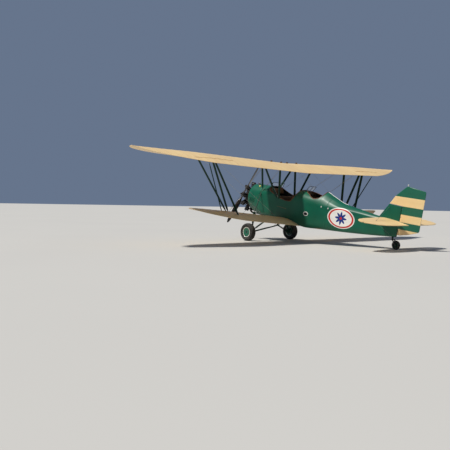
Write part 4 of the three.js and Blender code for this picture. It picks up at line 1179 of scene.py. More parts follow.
def cylinder_surfaces():
    """One cylinder that stands on the thrust line along +Z: finned barrel and head, rocker boxes with bolts,
    a bolted foot, an exhaust stub and an intake pipe."""
    root, flange = BARREL["root"], BARREL["flange"]
    barrel = [(0.0, root), (0.083, root), (0.083, flange), (0.062, flange), *fins(BARREL), *fins(HEAD)]
    barrel += [(0.066, 0.545), (0.052, 0.566), (0.0, 0.57)]
    surfaces = [turned(barrel, ORIGIN, UP, 28)]
    for sign in (-1, 1):
        box_x = sign * 0.058
        surfaces.append(plate([(box_x + x, z) for x, z in ROCKER_BOX], -0.026, 0.026))
        surfaces += [bolt((box_x + dx, dy, 0.578), UP, 0.0055, 0.009)
                     for dx in (-0.018, 0.018) for dy in (-0.016, 0.016)]
    surfaces += [bolt((x, y, flange), UP, 0.008, 0.01) for x, y in ring_of(8, 0.074)]
    surfaces += [bent(STUB_LINE, 0.023, 12), bent(INTAKE_LINE, 0.02, 12)]
    return surfaces


def bright_surfaces():
    """The parts of one cylinder that shine: two push rod tubes in front and a spark plug at each side."""
    made = []
    for sign in (-1, 1):
        made.append(rod((0.12, sign * 0.04, 0.205), (0.068, sign * 0.014, 0.545), 0.0092, 10))
        made.append(rod((0.122, sign * 0.041, 0.195), (0.116, sign * 0.038, 0.235), 0.015, 10))
        made.append(rod((0.0, sign * 0.06, 0.505), (0.012, sign * 0.118, 0.535), 0.0085, 8))
    return made


def around_row(surfaces, turn):
    """Surfaces that stand along +Z, turned about the thrust line and set in the cylinders' plane."""
    cos, sin = math.cos(turn), math.sin(turn)
    made = []
    for points, faces in surfaces:
        x, y, z = np.moveaxis(points, -1, 0)
        made.append((np.stack([ROW_X + x, y * cos - z * sin, THRUST_Z + y * sin + z * cos], -1), faces))
    return made


def engine():
    """Crankcase with its bolts and nose, nine cylinders, exhaust collector, mount tubes and leads."""
    turns = round_angles(CYLINDERS)
    metal = [turned(CRANKCASE, (0, 0, THRUST_Z), FORWARD, 72)]
    for turn in turns:
        metal += around_row(cylinder_surfaces(), turn)
    for foot_z in (MOUNT["z"], -MOUNT["z"]):
        for foot_y in (MOUNT["y"], -MOUNT["y"]):
            foot = (MOUNT["foot_x"], foot_y, THRUST_Z + foot_z)
            head = (MOUNT["head_x"], MOUNT["share"] * foot_y, THRUST_Z + MOUNT["share"] * foot_z)
            metal.append(rod(foot, head, MOUNT["radius"], 12))
    piece("engine_castings", metal, engine_enamel, stands_for=["engine"], crease=40)
    bright = []
    for turn in turns:
        bright += around_row(bright_surfaces(), turn)
    for radius, x, count, size in NUT_RINGS:
        bright += [bolt((x, y, THRUST_Z + z), FORWARD, size, 0.01) for y, z in ring_of(count, radius)]
    piece("engine_tubes_and_nuts", bright, steel)
    ring = circle((COLLECTOR["x"], 0, THRUST_Z), FORWARD, COLLECTOR["radius"], 96)
    pipes = [tube(ring, COLLECTOR["tube"], 14, closed=True), bent(TAIL_PIPE, 0.034, 16)]
    piece("exhaust_collector", pipes, exhaust_metal)
    ring = circle((HARNESS["x"], 0, THRUST_Z), FORWARD, HARNESS["radius"], 72)
    leads = [tube(ring, HARNESS["tube"], 10, closed=True)]
    for turn in turns:
        leads += around_row([bent(LEAD_LINE, HARNESS["lead"], 8, 6)], turn)
    piece("ignition_leads", leads, lead_brown)


# Blade sections by radius: chord, thickness and pitch in degrees
BLADE = np.array([
    [0.04, 0.056, 0.056, 60], [0.15, 0.066, 0.054, 52], [0.33, 0.145, 0.042, 41],
    [0.6, 0.176, 0.03, 31], [0.88, 0.164, 0.02, 24], [1.12, 0.136, 0.014, 19],
    [1.26, 0.106, 0.01, 17], [1.3245, 0.09, 0.007, 16],
])
HUB = dict(rear=1.748, front=1.812, nose=1.862, lean=29)


def blade(turn):
    """A twisted blade along +Z, its front face crowned and its back face nearly flat, with a round tip."""
    rounded_end = 1.2 + 0.1245 * np.sin(np.linspace(0, np.pi / 2, 14))[1:]
    radius = np.concatenate([np.linspace(0.04, 1.2, 40), rounded_end])
    chord, thick, pitch = np.moveaxis(smooth(radius, BLADE[:, 0], BLADE[:, 1:]), -1, 0)
    tip = rounding(1.325 - radius, 0.125)
    angle = round_angles(32)
    c = 0.5 * np.cos(angle) * (chord * tip)[:, None]
    t = 0.5 * np.where(np.sin(angle) > 0, 1.15, 0.75) * np.sin(angle) * (thick * (0.35 + 0.65 * tip))[:, None]
    lean = np.radians(pitch)[:, None]
    x, y = c * np.sin(lean) + t * np.cos(lean), t * np.sin(lean) - c * np.cos(lean)
    z = np.broadcast_to(radius[:, None], x.shape)
    return capped(np.stack([x, y * turn, z * turn], -1))


def swung(points):
    """The propeller's own frame to the level frame: turned by its lean and set on the thrust line."""
    x, y, z = np.moveaxis(points, -1, 0)
    lean = math.radians(HUB["lean"])
    middle = (HUB["rear"] + HUB["front"]) / 2
    return np.stack([x + middle, y * math.cos(lean) - z * math.sin(lean),
                     THRUST_Z + y * math.sin(lean) + z * math.cos(lean)], -1)


def propeller():
    """Two blades on one hub, a clamping plate with bolts and a bright nose."""
    middle = (HUB["rear"] + HUB["front"]) / 2
    rear, front, nose = HUB["rear"] - middle, HUB["front"] - middle, HUB["nose"] - middle
    place = lambda points: parked(swung(points))
    wood = [blade(1), blade(-1), turned(collar(0.03, 0.078, rear, front)[:4], ORIGIN, FORWARD, 40)]
    piece("propeller_blades", wood, propeller_varnish, body="propeller", stands_for=["propeller"],
          place=place)
    cap = [(0.0, front), (0.074, front), (0.074, front + 0.005), (0.048, front + 0.006),
           (0.044, front + 0.012), (0.042, nose - 0.014), (0.038, nose - 0.006), (0.026, nose), (0.0, nose)]
    metal = [turned(cap, ORIGIN, FORWARD, 40)]
    metal += [bolt((front + 0.005, y, z), FORWARD, 0.009, 0.009) for y, z in ring_of(8, 0.06)]
    piece("propeller_hub_plate", metal, steel, body="propeller", place=place)


engine()
propeller()


# Main wheels and gear

WHEEL = dict(track=1.17, radius=0.33, rim=0.205, wide=0.108)
# Profiles turned about the axle, as radius and distance outboard of the wheel's middle
BACKPLATE = [(0.024, -0.112), (0.112, -0.112), (0.116, -0.108), (0.116, -0.1035), (0.024, -0.1035),
             (0.024, -0.112)]
DRUM = [(0.052, -0.1), (0.118, -0.1), (0.122, -0.096), (0.122, -0.058), (0.052, -0.058), (0.052, -0.1)]
HUB_CAP = [(0.0335, 0.0748), (0.0432, 0.0748), (0.0432, 0.079), (0.0335, 0.0805), (0.0335, 0.0748)]
DISC = [
    (0.0205, -0.122), (0.044, -0.122), (0.048, -0.118), (0.05, -0.066), (0.054, -0.062), (0.12, -0.053),
    (0.148, -0.05), (0.158, -0.054), (0.182, -0.074), (0.196, -0.085), (0.2045, -0.086), (0.2045, 0.086),
    (0.2, 0.091), (0.194, 0.0915), (0.187, 0.09), (0.184, 0.0872), (0.168, 0.0858), (0.11, 0.0818),
    (0.052, 0.0798), (0.047, 0.0792), (0.044, 0.0745), (0.0205, 0.0742), (0.0205, -0.122),
]


def tyre_surface(count=96):
    """A rounded square section turned about the axle, with shallow grooves round the tread."""
    angle = round_angles(count)
    rounded = lambda value: np.sign(value) * np.abs(value) ** 0.8
    middle, tall = (WHEEL["radius"] + WHEEL["rim"]) / 2, (WHEEL["radius"] - WHEEL["rim"]) / 2
    radius, across = middle + tall * rounded(np.sin(angle)), WHEEL["wide"] * rounded(np.cos(angle))
    groove = np.clip(np.cos(2 * np.pi * across / 0.024) - 0.35, 0, 1) / 0.65
    tread = ramp(np.sin(angle), 0.72, 0.86)
    radius = radius - 0.0045 * np.sqrt(groove) * tread
    ring = np.column_stack([radius, across])
    return turned(np.vstack([ring, ring[:1]]), ORIGIN, PORT, 96)


def at_wheel(surfaces, side):
    """Surfaces about their own middle, set on the axle line of one side, their outer face outboard."""
    return [(points * (1, side, 1) + (0, side * WHEEL["track"], 0), faces) for points, faces in surfaces]


def bolt_ring(reach, y, count, radius, height):
    """Bolt heads round the axle line, facing outboard."""
    return [bolt((x, y, z), PORT, radius, height) for x, z in ring_of(count, reach)]


def wheels():
    """Tyres, wheel discs with a ring of rivets, brake drums, hub caps and valves."""
    for name, side in SIDES.items():
        body = f"wheel_{name}"
        piece(f"tyre_rubber_{name}", at_wheel([tyre_surface()], side), rubber, body=body,
              stands_for=[f"tyre_{name}"], crease=50)
        rivets = bolt_ring(0.158, 0.085, 24, 0.0042, 0.0026)
        piece(f"wheel_cover_{name}", at_wheel([turned(DISC, ORIGIN, PORT, 72), *rivets], side),
              wheel_paint, body=body, stands_for=[f"wheel_{name}"], crease=30)
        hub = [turned(DRUM, ORIGIN, PORT, 48), turned(HUB_CAP, ORIGIN, PORT, 40)]
        hub += bolt_ring(0.06, 0.08, 6, 0.0045, 0.004)
        hub.append(rod((0.0, 0.078, 0.172), (0.0, 0.096, 0.18), 0.004, 8))
        piece(f"wheel_hub_{name}", at_wheel(hub, side), steel, body=body)


KNUCKLE = dict(back=-0.042, front=0.042, inner=0.95, outer=1.02, low=-0.045, high=0.105)
AXLE_TUBE = dict(inner=1.01, outer=1.25, radius=0.02)
# Where the two half axles meet, and the sprung leg from foot to head, all on the port side
APEX = np.array([-0.36, 0, 0.335])
LEG_FOOT, LEG_KNEE = np.array([0.002, 0.985, 0.106]), np.array([0.011, 0.985, 0.38])
LEG_HEAD = np.array([0.02, 0.985, 0.705])
LEG_PLATE = dict(back=-0.02, front=0.06, inner=0.951, outer=1.019, low=0.7053, high=0.765)
DRAG_ENDS = np.array([[-0.04, 0.948, 0.1], [-0.337, 0.446, 0.654]])
OUTRIGGER_ENDS = [(0.318, 0.455, 1.49), (0.335, 0.455, 0.665), (-0.11, 0.455, 0.65)]
BRAKE_LINE = [(-0.03, 0.94, 0.05), (-0.08, 0.8, 0.095), (-0.19, 0.5, 0.2),
              (-0.32, 0.13, 0.33), (-0.355, 0.12, 0.48), (-0.345, 0.17, 0.64)]


def bellows(start, end, radius, folds=9):
    """A gaiter: its radius swings in and out along a line."""
    share = np.linspace(0, 1, folds * 4 + 1)
    reach = radius * (0.84 + 0.16 * np.abs(np.sin(np.pi * folds * share)))
    return tube(start + share[:, None] * (end - start), reach, 20)


def raised(point, height):
    """A point moved straight up."""
    return point + (0, 0, height)


def sided_block(row, side):
    """A box on one side of the aircraft, its limits from a table's row."""
    ends = np.array([(row["back"], side * row["inner"], row["low"]),
                     (row["front"], side * row["outer"], row["high"])])
    return block(ends.min(0), ends.max(0))


def split_axle():
    """The apex tube, and on each side a knuckle, the axle's end, its nut, a half axle and an apex strut."""
    made = [rod(APEX - (0.055, 0, 0), APEX + (0.055, 0, 0), 0.032, 24)]
    for side in SIDES.values():
        made.append(sided_block(KNUCKLE, side))
        tip = (0, side * AXLE_TUBE["outer"], 0)
        made.append(rod((0, side * AXLE_TUBE["inner"], 0), tip, AXLE_TUBE["radius"], 24))
        made.append(bolt(tip, (0, side, 0), 0.031, 0.0115))
        made.append(rod(APEX, (0, side * 0.96, 0), 0.023, 20))
        made.append(rod(APEX, (APEX[0], side * 0.168, 0.65), 0.019, 16))
    piece("axle_tubes", made, strut_paint, stands_for=["axle"], bevel=0.003)


def main_gear():
    """Sprung legs with gaiters and caps, drag struts, outriggers, brake plates and brake lines."""
    for name, side in SIDES.items():
        flip = np.array([1.0, side, 1.0])
        foot, knee, head = LEG_FOOT * flip, LEG_KNEE * flip, LEG_HEAD * flip
        sleeve = [rod(raised(knee, -0.008), head, 0.037, 28),
                  rod(raised(knee, -0.012), raised(knee, 0.014), 0.041, 28),
                  rod(foot, knee, 0.02, 20), rod(foot, raised(foot, 0.025), 0.028, 20)]
        piece(f"shock_leg_tube_{name}", sleeve, strut_paint, stands_for=[f"shock_leg_{name}"], bevel=0.002)
        piece(f"shock_gaiter_{name}", [bellows(raised(foot, 0.03), raised(knee, -0.01), 0.033)], rubber)
        piece(f"drag_fairing_{name}", [strut(*(DRAG_ENDS * flip), 0.082, 0.038)], strut_paint,
              stands_for=[f"drag_strut_{name}"])
        top = raised(head, 0.03)
        made = [sided_block(LEG_PLATE, side)]
        made += [streamlined(top, np.array(end) * flip, 0.044, 0.034, 20) for end in OUTRIGGER_ENDS]
        piece(f"outrigger_arms_{name}", made, strut_paint, stands_for=[f"outrigger_{name}"], bevel=0.003)
        cap_top = raised(head, 0.082)
        cap = [rod(raised(head, 0.058), cap_top, 0.03, 28), bolt(cap_top, UP, 0.016, 0.012)]
        piece(f"leg_cap_{name}", cap, pale_metal)
        piece(f"brake_line_{name}", [bent(np.array(BRAKE_LINE) * flip, 0.0055, 8, 6)], black)
        backplate = turned(BACKPLATE, ORIGIN, PORT, 40)
        piece(f"brake_plate_{name}", at_wheel([backplate], side), strut_paint)


wheels()
split_axle()
main_gear()


# Tail wheel

TAIL = dict(radius=0.145, trail=0.13, crown=0.314, thick=0.016, arm=0.058, pin_top=0.468, pin=0.0138)
TAIL_DISC = [(0.0088, -0.037), (0.026, -0.037), (0.03, -0.029), (0.07, -0.024), (0.084, -0.034),
             (0.0865, -0.034), (0.0865, 0.034), (0.084, 0.034), (0.07, 0.024), (0.03, 0.029),
             (0.026, 0.037), (0.0088, 0.037), (0.0088, -0.037)]
PUSH_ROD = dict(ahead=0.145, foot_y=3.47, foot_z=0.94, wide=0.044, thick=0.034)


def tail_gear():
    """A small solid tyre on a disc, a swivelling fork of two straps under a crown plate, and its pin."""
    ground = lambda points: points + (SWIVEL_X, 0, 0)
    crown, arm = TAIL["crown"], TAIL["arm"]
    hub = np.array([-TAIL["trail"], 0, TAIL["radius"]])
    angle = np.linspace(-0.5 * np.pi, 0.5 * np.pi, 28)
    outer = np.column_stack([0.092 + 0.0528 * np.cos(angle) ** 0.55, 0.0415 * np.sin(angle)])
    profile = np.vstack([[(0.086, -0.036)], outer, [(0.086, 0.036)], [(0.086, -0.036)]])
    piece("tail_tyre", [turned(profile, hub, PORT, 64)], rubber, body="tail_wheel",
          stands_for=["tail_wheel"], place=ground)
    piece("tail_wheel_disc", [turned(TAIL_DISC, hub, PORT, 48)], strut_paint, body="tail_wheel",
          slot="wheel_disc", place=ground)
    made = [rod((0, 0, crown), (0, 0, TAIL["pin_top"]), TAIL["pin"], 24),
            rod((0, 0, crown + 0.014), (0, 0, crown + 0.05), 0.028, 28)]
    u = np.linspace(-1, 1, 25)
    half = (arm + 0.006) * np.sqrt(1 - 0.35 * np.abs(u) ** 6)
    edge_x, edge_y = -0.017 + 0.053 * np.append(u, u[::-1]), np.append(half, -half[::-1])
    made.append(capped(np.stack([np.column_stack([edge_x, edge_y, np.full(50, z)])
                                 for z in (crown, crown + TAIL["thick"])])))
    for side in (-1, 1):
        seat = hub + (0, side * arm, 0)
        made.append(streamlined((-0.03, side * arm, crown + 0.008), seat, 0.046, 0.012, 20))
        made.append(turned(collar(0.0, 0.026, -0.006, 0.006), seat, PORT, 28))
        made.append(bolt(seat + (0, side * 0.006, 0), (0, side, 0), 0.013, 0.008))
    made.append(rod(hub - (0, 0.068, 0), hub + (0, 0.068, 0), 0.0079, 16))
    piece("tail_fork_straps", made, black, body="tail_swivel", slot="fork_black", stands_for=["tail_fork"],
          place=ground, bevel=0.0015)


def control_rods():
    """The push rods from the lower wing to the ailerons' horns: an eye, a threaded end with its nut and a
    fairing."""
    lean = math.atan(UPPER["dihedral"])
    for name, side in SIDES.items():
        inner = np.array([HINGE_X - HORN["behind"], HORN["y"] - UPPER["root"], HORN["pin_z"]])
        head = hung(inner[None], UPPER, side)[0]
        foot = np.array([head[0] + PUSH_ROD["ahead"], side * PUSH_ROD["foot_y"], PUSH_ROD["foot_z"]])
        down = (foot - head) / np.linalg.norm(foot - head)
        axis = (0, math.cos(lean), side * math.sin(lean))
        made = [turned(collar(0.0035, 0.013, -0.004, 0.004), head, axis, 28),
                rod(head + 0.012 * down, head + 0.075 * down, 0.0055, 12),
                rod(head + 0.06 * down, head + 0.095 * down, 0.009, 6),
                strut(head + 0.07 * down, foot, PUSH_ROD["wide"], PUSH_ROD["thick"], 16)]
        piece(f"push_rod_tube_{name}", made, strut_paint, body=f"push_rod_{name}",
              stands_for=[f"push_rod_{name}"])


tail_gear()
control_rods()


# Fittings on the fuselage's skin

def side_y(x, z):
    """Half width of the hull at stations and heights: each section's superellipse solved for y."""
    x, z = np.broadcast_arrays(np.asarray(x, float), np.asarray(z, float))
    _, half, widest, belly, crown, belly_power, crown_power = smooth(x.ravel(), SECTIONS[:, 0], SECTIONS).T
    above = z.ravel() > widest
    power = np.where(above, crown_power, belly_power)
    reach = np.where(above, crown - widest, widest - belly)
    share = np.clip(np.abs(z.ravel() - widest) / reach, 0, 1)
    return (half * (1 - share ** power) ** (1 / power)).reshape(x.shape)


def crown_z(x):
    """Height of the hull's crown at stations."""
    return smooth(x, SECTIONS[:, 0], SECTIONS[:, 4])


def oval_plate(x, z, long, tall, proud, inner=0.0, side=1, count=40):
    """A thin oval on the hull's side, or a ring if it has an inner share: rings from its hidden back over a
    rounded edge to its face, each point at the hull's half width plus its height above the skin."""
    angle = round_angles(count)
    rows = [(1.0, -0.004), (1.0, 0.6 * proud), (0.96, proud), (inner + 0.02, proud), (inner, 0.6 * proud),
            (inner, -0.004)]
    rings = []
    for share, rise in rows:
        px, pz = x + long * share * np.cos(angle), z + tall * share * np.sin(angle)
        rings.append(np.column_stack([px, side * (side_y(px, pz) + rise), pz]))
    points = np.array(rings)
    return lattice(points, around=True, along=True) if inner else capped(points[:4])


def skin_line(points, radius, side):
    """A thin bead along the hull's side through points given as x and z."""
    x, z = smooth(np.linspace(0, 1, 24), np.linspace(0, 1, len(points)), np.array(points)).T
    return tube(np.column_stack([x, side * (side_y(x, z) + 0.4 * radius), z]), radius, 8)


def rim_path(cut, count=150):
    """A cockpit's rim all round: the cut's curve on the port skin, over the crown at both ends, and back."""
    x = np.linspace(cut[0, 0], cut[-1, 0], 4000)
    z = smooth(x, cut[:, 0], cut[:, 1])
    inside = z < crown_z(x) - 1e-4
    port = np.column_stack([x, side_y(x, z), z])[inside]
    path = np.vstack([port, port[::-1] * (1, -1, 1)])
    closed = np.vstack([path, path[:1]])
    arc = arc_of(closed)
    steps = np.linspace(0, arc[-1], count, endpoint=False)
    return np.column_stack([np.interp(steps, arc, closed[:, i]) for i in range(3)])


# Foot steps and small plates on the sides: x, z, half length and half height
STEP_HOLE = (-2.011, 1.134, 0.105, 0.075)
TABS = [(-2.586, 1.505, 0.018, 0.03), (-2.859, 1.503, 0.018, 0.03)]
# Lines along the sides, as x and z: the bead under the front cockpit, the cowl's rear seam and its louvres
BEAD = [(-0.616, 1.125), (-0.85, 1.124), (-1.091, 1.122)]
SEAM_LINE = [(0.341, 1.3), (0.341, 1.4), (0.335, 1.491), (0.2, 1.56), (0.045, 1.607)]
LOUVRES = dict(first=0.62, pitch=0.052, count=6, heights=(1.02, 1.1, 1.18))
FASTENERS = dict(x=0.405, low=0.75, high=1.66, count=13)
RIDGE = dict(front=-2.49, back=-3.42, narrow=0.01, wider=0.012, proud=0.006)
LAMP = dict(x=0.583, z=1.657, radii=(0.046, 0.036, 0.04))
# The oil filler on the cowl: its place, and its profile as radius and height
FILLER_AT = (0.763, 0.2, 0)
FILLER = [(0.0, 1.62), (0.04, 1.62), (0.04, 1.735), (0.048, 1.737), (0.048, 1.76), (0.04, 1.772),
          (0.0, 1.778)]


def skin_fittings():
    """Rims of padded leather round the cockpits, the foot steps with a black oval of painted shade for each
    hollow, tabs, beads and seams.
    """
    rims = [tube(rim_path(cut), 0.0125, 12, closed=True) for cut in (FRONT_CUT, REAR_CUT)]
    piece("cockpit_rims", rims, seat_hide)
    x, z, long, tall = STEP_HOLE
    tabs, beads, seams = [], [], []
    for name, side in SIDES.items():
        piece(f"foot_step_rim_{name}", [oval_plate(x, z, long, tall, 0.007, 0.72, side)], white_paint,
              slot="green_fabric")
        # A flat black oval in the white rim: painted shade standing for the step's dark hollow
        piece(f"foot_step_painted_shade_{name}", [oval_plate(x, z, 0.74 * long, 0.74 * tall, 0.002, side=side)], black)
        tabs += [oval_plate(*tab, 0.008, side=side) for tab in TABS]
        beads.append(skin_line(BEAD, 0.006, side))
        seams.append(skin_line(SEAM_LINE, 0.0045, side))
    piece("step_tabs", tabs, white_paint)
    piece("side_beads", beads, tan_paint)
    piece("cowl_seams", seams, black)


def crown_fittings():
    """The pale ridge strip behind the pilot, a capping strip whose white is also a painted highlight, the
    lamp on the cowl's port shoulder and the oil filler.
    """
    x = np.linspace(RIDGE["front"], RIDGE["back"], 40)[:, None]
    share = np.clip((x - RIDGE["back"]) / (RIDGE["front"] - RIDGE["back"]), 0, 1)
    across = np.linspace(-1, 1, 9)[None, :]
    y = (RIDGE["narrow"] + RIDGE["wider"] * share) * across
    z = crown_z(x[:, 0])[:, None] + RIDGE["proud"] - 0.01 * across ** 2
    strip = np.stack(np.broadcast_arrays(x, y, z), -1)
    # A capping strip along the crown, its white partly a painted highlight of the sun along the ridge
    piece("ridge_highlight_strip", [lattice(strip)], white_paint, slot="cream_fabric", wall=0.002)
    lamp_y = float(side_y(LAMP["x"], LAMP["z"] - 0.004)) + 0.01
    piece("signal_lamp", [ball((LAMP["x"], lamp_y, LAMP["z"]), LAMP["radii"], 14, 24)], amber)
    piece("filler_cap", [turned(FILLER, FILLER_AT, UP, 32)], steel)


def cowl_fittings():
    """The cowl's louvres and the row of fasteners at its rear edge, on both sides."""
    louvres, studs = [], []
    for side in SIDES.values():
        for number in range(LOUVRES["count"]):
            at_x = LOUVRES["first"] + LOUVRES["pitch"] * number
            louvres.append(skin_line([(at_x, height) for height in LOUVRES["heights"]], 0.008, side))
        for at_z in np.linspace(FASTENERS["low"], FASTENERS["high"], FASTENERS["count"]):
            heights = at_z + np.array([-0.01, 0, 0.01])
            below, y, above = side_y(FASTENERS["x"], heights)
            facing = (0, side, (below - above) / 0.02)
            studs.append(bolt((FASTENERS["x"], side * y, at_z), facing, 0.008, 0.004))
    piece("cowl_louvres", louvres, green, slot="cowl_metal")
    piece("cowl_fasteners", studs, steel)


# Caps on top of the centre section: x, distances from the middle and the profile as radius and height
CAPS_X, CAPS_Y = -0.16, (0.16, 0.69)
CAP = [(0.0, -0.02), (0.034, -0.02), (0.034, 0.012), (0.042, 0.014), (0.042, 0.03), (0.034, 0.038),
       (0.01, 0.04), (0.008, 0.052), (0.0, 0.052)]
TAIL_LAMP = dict(x=-5.485, low=2.735, top=2.778, middle=2.792)
GAP_STRIP = dict(behind=0.0105, low=1.652, high=2.09, radius=0.0058)


def top_fittings():
    """Filler caps on the centre section, the lamp on the rudder's top and the strip that closes the fin's
    hinge gap."""
    caps = []
    for reach in CAPS_Y:
        lead, chord, thickness, _, _ = planform(UPPER, np.array([reach]))
        upper, _ = section((lead - CAPS_X) / chord, chord, thickness)
        deck = UPPER["height"] + UPPER["dihedral"] * reach + float(upper[0])
        caps += [turned(CAP, (CAPS_X, side * reach, deck), UP, 28) for side in SIDES.values()]
    piece("filler_caps", caps, lead_brown)
    lamp_x = TAIL_LAMP["x"]
    lamp = [rod((lamp_x, 0, TAIL_LAMP["low"]), (lamp_x, 0, TAIL_LAMP["top"]), 0.008, 10),
            ball((lamp_x, 0, TAIL_LAMP["middle"]), (0.022, 0.02, 0.02), 12, 20)]
    piece("tail_lamp", lamp, white_paint, body="rudder")
    gap_x = FIN_HINGE["x"] + GAP_STRIP["behind"]
    strip = rod((gap_x, 0, GAP_STRIP["low"]), (gap_x, 0, GAP_STRIP["high"]), GAP_STRIP["radius"], 10)
    piece("fin_gap_strip", [strip], black)


skin_fittings()
crown_fittings()
cowl_fittings()
top_fittings()


# Windscreens

# Foot of the centre pane, half width, sweep of the side panes, lean, and heights of foot and top
SCREENS = {
    "front": dict(x=0.13, half=0.33, sweep=0.11, lean=0.35, low=1.7, high=1.9),
    "pilot": dict(x=-1.48, half=0.19, sweep=0.06, lean=0.75, low=1.8, high=2.06),
}
CENTRE_SHARE, FRAME_BAR, BEHIND_GLASS = 0.55, 0.0085, 0.003


def screen_frames():
    """Thin dark edging on each windscreen: along its top, down its outer edges and its two folds."""
    for name, row in SCREENS.items():
        y = row["half"] * np.array([1, CENTRE_SHARE, -CENTRE_SHARE, -1])
        x = row["x"] - row["sweep"] * np.array([1, 0, 0, 1]) - BEHIND_GLASS
        feet = np.column_stack([x, y, np.full(4, row["low"])])
        top = feet + (-row["lean"] * (row["high"] - row["low"]), 0, row["high"] - row["low"])
        made = [rod(top[i], top[i + 1], FRAME_BAR, 8) for i in range(3)]
        made += [ball(corner, (1.02 * FRAME_BAR,) * 3, 6, 8) for corner in top]
        for foot, head in zip(feet, top):
            line = foot + np.linspace(0, 1, 60)[:, None] * (head - foot)
            x, y, z = line.T
            outside = (z > crown_z(x)) | (np.abs(y) > side_y(x, z))
            if outside.any():
                made.append(rod(line[np.argmax(outside)], head, FRAME_BAR, 8))
        piece(f"{name}_screen_frame", made, black)
        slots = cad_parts[f"{name}_windscreen"].data.materials
        slots.clear()
        slots.append(glass)


screen_frames()


# Seats and cockpit fittings

# Back's foot x, pan's depth, half width, the box's foot, pan height, back's top, how far the back leans and
# how many channels are sewn across
SEATS = {
    "front_bench": dict(x=-0.42, depth=0.38, half=0.43, foot=0.66, pan=0.96, top=1.5, rake=0.09,
                        channels=6),
    "rear_bench": dict(x=-1.19, depth=0.39, half=0.43, foot=0.66, pan=0.96, top=1.76, rake=0.17,
                       channels=6),
    "pilot_seat": dict(x=-2.31, depth=0.42, half=0.25, foot=0.7, pan=1.06, top=1.69, rake=0.11,
                       channels=4),
}
BACK_THICK = 0.09
PAD = dict(pan=0.1, back=0.055, swell=0.006, voxel=0.014, cap=0.016, pressure=4.0, frames=20, boxy=10.0)
# Middle of the headrest's foot and of its top
HEADREST = np.array([[-2.395, 0, 1.8], [-2.44, 0, 1.95]])


def pillow(corner, along, across, depth, count=26):
    """A crowned closed form on three edge vectors from one corner: a cube's six faces on one grid each,
    pushed towards a rounded box by a power, its broad faces crowned and its sides pulled in."""
    u = np.linspace(-1, 1, count)
    across_face = np.stack(np.meshgrid(u, u, indexing="ij"), -1)
    middle = corner + (along + across + depth) / 2
    points, faces = [], []
    for axis in range(3):
        for sign in (-1, 1):
            cube = np.insert(across_face, axis, sign, axis=-1)
            length = (np.abs(cube) ** PAD["boxy"]).sum(-1, keepdims=True) ** (1 / PAD["boxy"])
            p, q, r = np.moveaxis(cube / length, -1, 0)
            pull = 1 - 0.022 * (1 - r ** 2)
            crown = (1 - p ** 4) * (1 - q ** 4)
            p, q, r = (share[..., None] for share in (p * pull, q * pull, r * (0.8 + 0.2 * crown)))
            grid, quads = lattice(middle + 0.5 * (p * along + q * across + r * depth))
            i, j, k, _ = quads[len(quads) // 2]
            normal = np.cross(grid[j] - grid[i], grid[k] - grid[i])
            facing_out = normal @ (grid.mean(0) - middle) > 0
            faces.append((quads if facing_out else quads[:, ::-1]) + count * count * len(points))
            points.append(grid)
    return np.concatenate(points), np.concatenate(faces)


def puffed(made):
    """Remeshed evenly, then swollen by a little pressure without gravity for twenty frames of cloth. Gives
    the points after it, none of them further from its start than the cap."""
    scene = bpy.context.scene
    even = made.modifiers.new("even", "REMESH")
    even.mode, even.voxel_size, even.use_smooth_shade = "VOXEL", PAD["voxel"], True
    graph = bpy.context.evaluated_depsgraph_get()
    mesh = bpy.data.meshes.new_from_object(made.evaluated_get(graph))
    made.modifiers.clear()
    made.data = mesh
    start = np.empty(len(mesh.vertices) * 3, np.float32)
    mesh.vertices.foreach_get("co", start)
    cloth = made.modifiers.new("cloth", "CLOTH")
    settings = cloth.settings
    settings.use_pressure, settings.uniform_pressure_force = True, PAD["pressure"]
    settings.effector_weights.gravity = 0
    settings.quality = 4
    cloth.collision_settings.use_collision = False
    cloth.point_cache.frame_start, cloth.point_cache.frame_end = 1, PAD["frames"]
    for count in range(1, PAD["frames"] + 1):
        scene.frame_set(count)
    graph = bpy.context.evaluated_depsgraph_get()
    swollen = np.empty_like(start)
    made.evaluated_get(graph).data.vertices.foreach_get("co", swollen)
    made.modifiers.clear()
    scene.frame_set(1)
    start, swollen = start.reshape(-1, 3), swollen.reshape(-1, 3)
    move = swollen - start
    far = np.linalg.norm(move, axis=1, keepdims=True)
    move *= np.minimum(1, PAD["cap"] / np.maximum(far, 1e-9))
    return start + move


def pad(name, corner, along, across, depth, channels):
    """A leather pad on three edge vectors: swollen by cloth, then sewn channels pressed into its face along
    the first of them."""
    corner, along, across, depth = (np.asarray(value, float) for value in (corner, along, across, depth))
    made = piece(name, [pillow(corner, along, across, depth)], seat_hide, crease=180)
    points = puffed(made)
    edges = np.array([parked(corner + edge) - parked(corner) for edge in (along, across, depth)])
    lengths = np.linalg.norm(edges, axis=1)
    ways = edges / lengths[:, None]
    share = ((points - parked(corner)) @ ways.T) / lengths
    groove = np.zeros(len(points))
    for line in np.linspace(0, 1, channels + 1)[1:-1]:
        groove = np.maximum(groove, np.exp(-((share[:, 1] - line) * lengths[1] / 0.01) ** 2))
    ends = ramp(share[:, 0], 0.03, 0.1) * (1 - ramp(share[:, 0], 0.9, 0.97))
    front = ramp(share[:, 2], 0.55, 0.8) * ends
    points = points - (0.01 * groove * front)[:, None] * ways[2]
    made.data.vertices.foreach_set("co", points.astype(np.float32).ravel())
    made.data.update()
    finer = made.modifiers.new("finer", "SUBSURF")
    finer.levels = finer.render_levels = 1
    if not made.data.materials:
        made.data.materials.append(seat_hide)
    made.data.polygons.foreach_set("use_smooth", np.ones(len(made.data.polygons), bool))
    return made


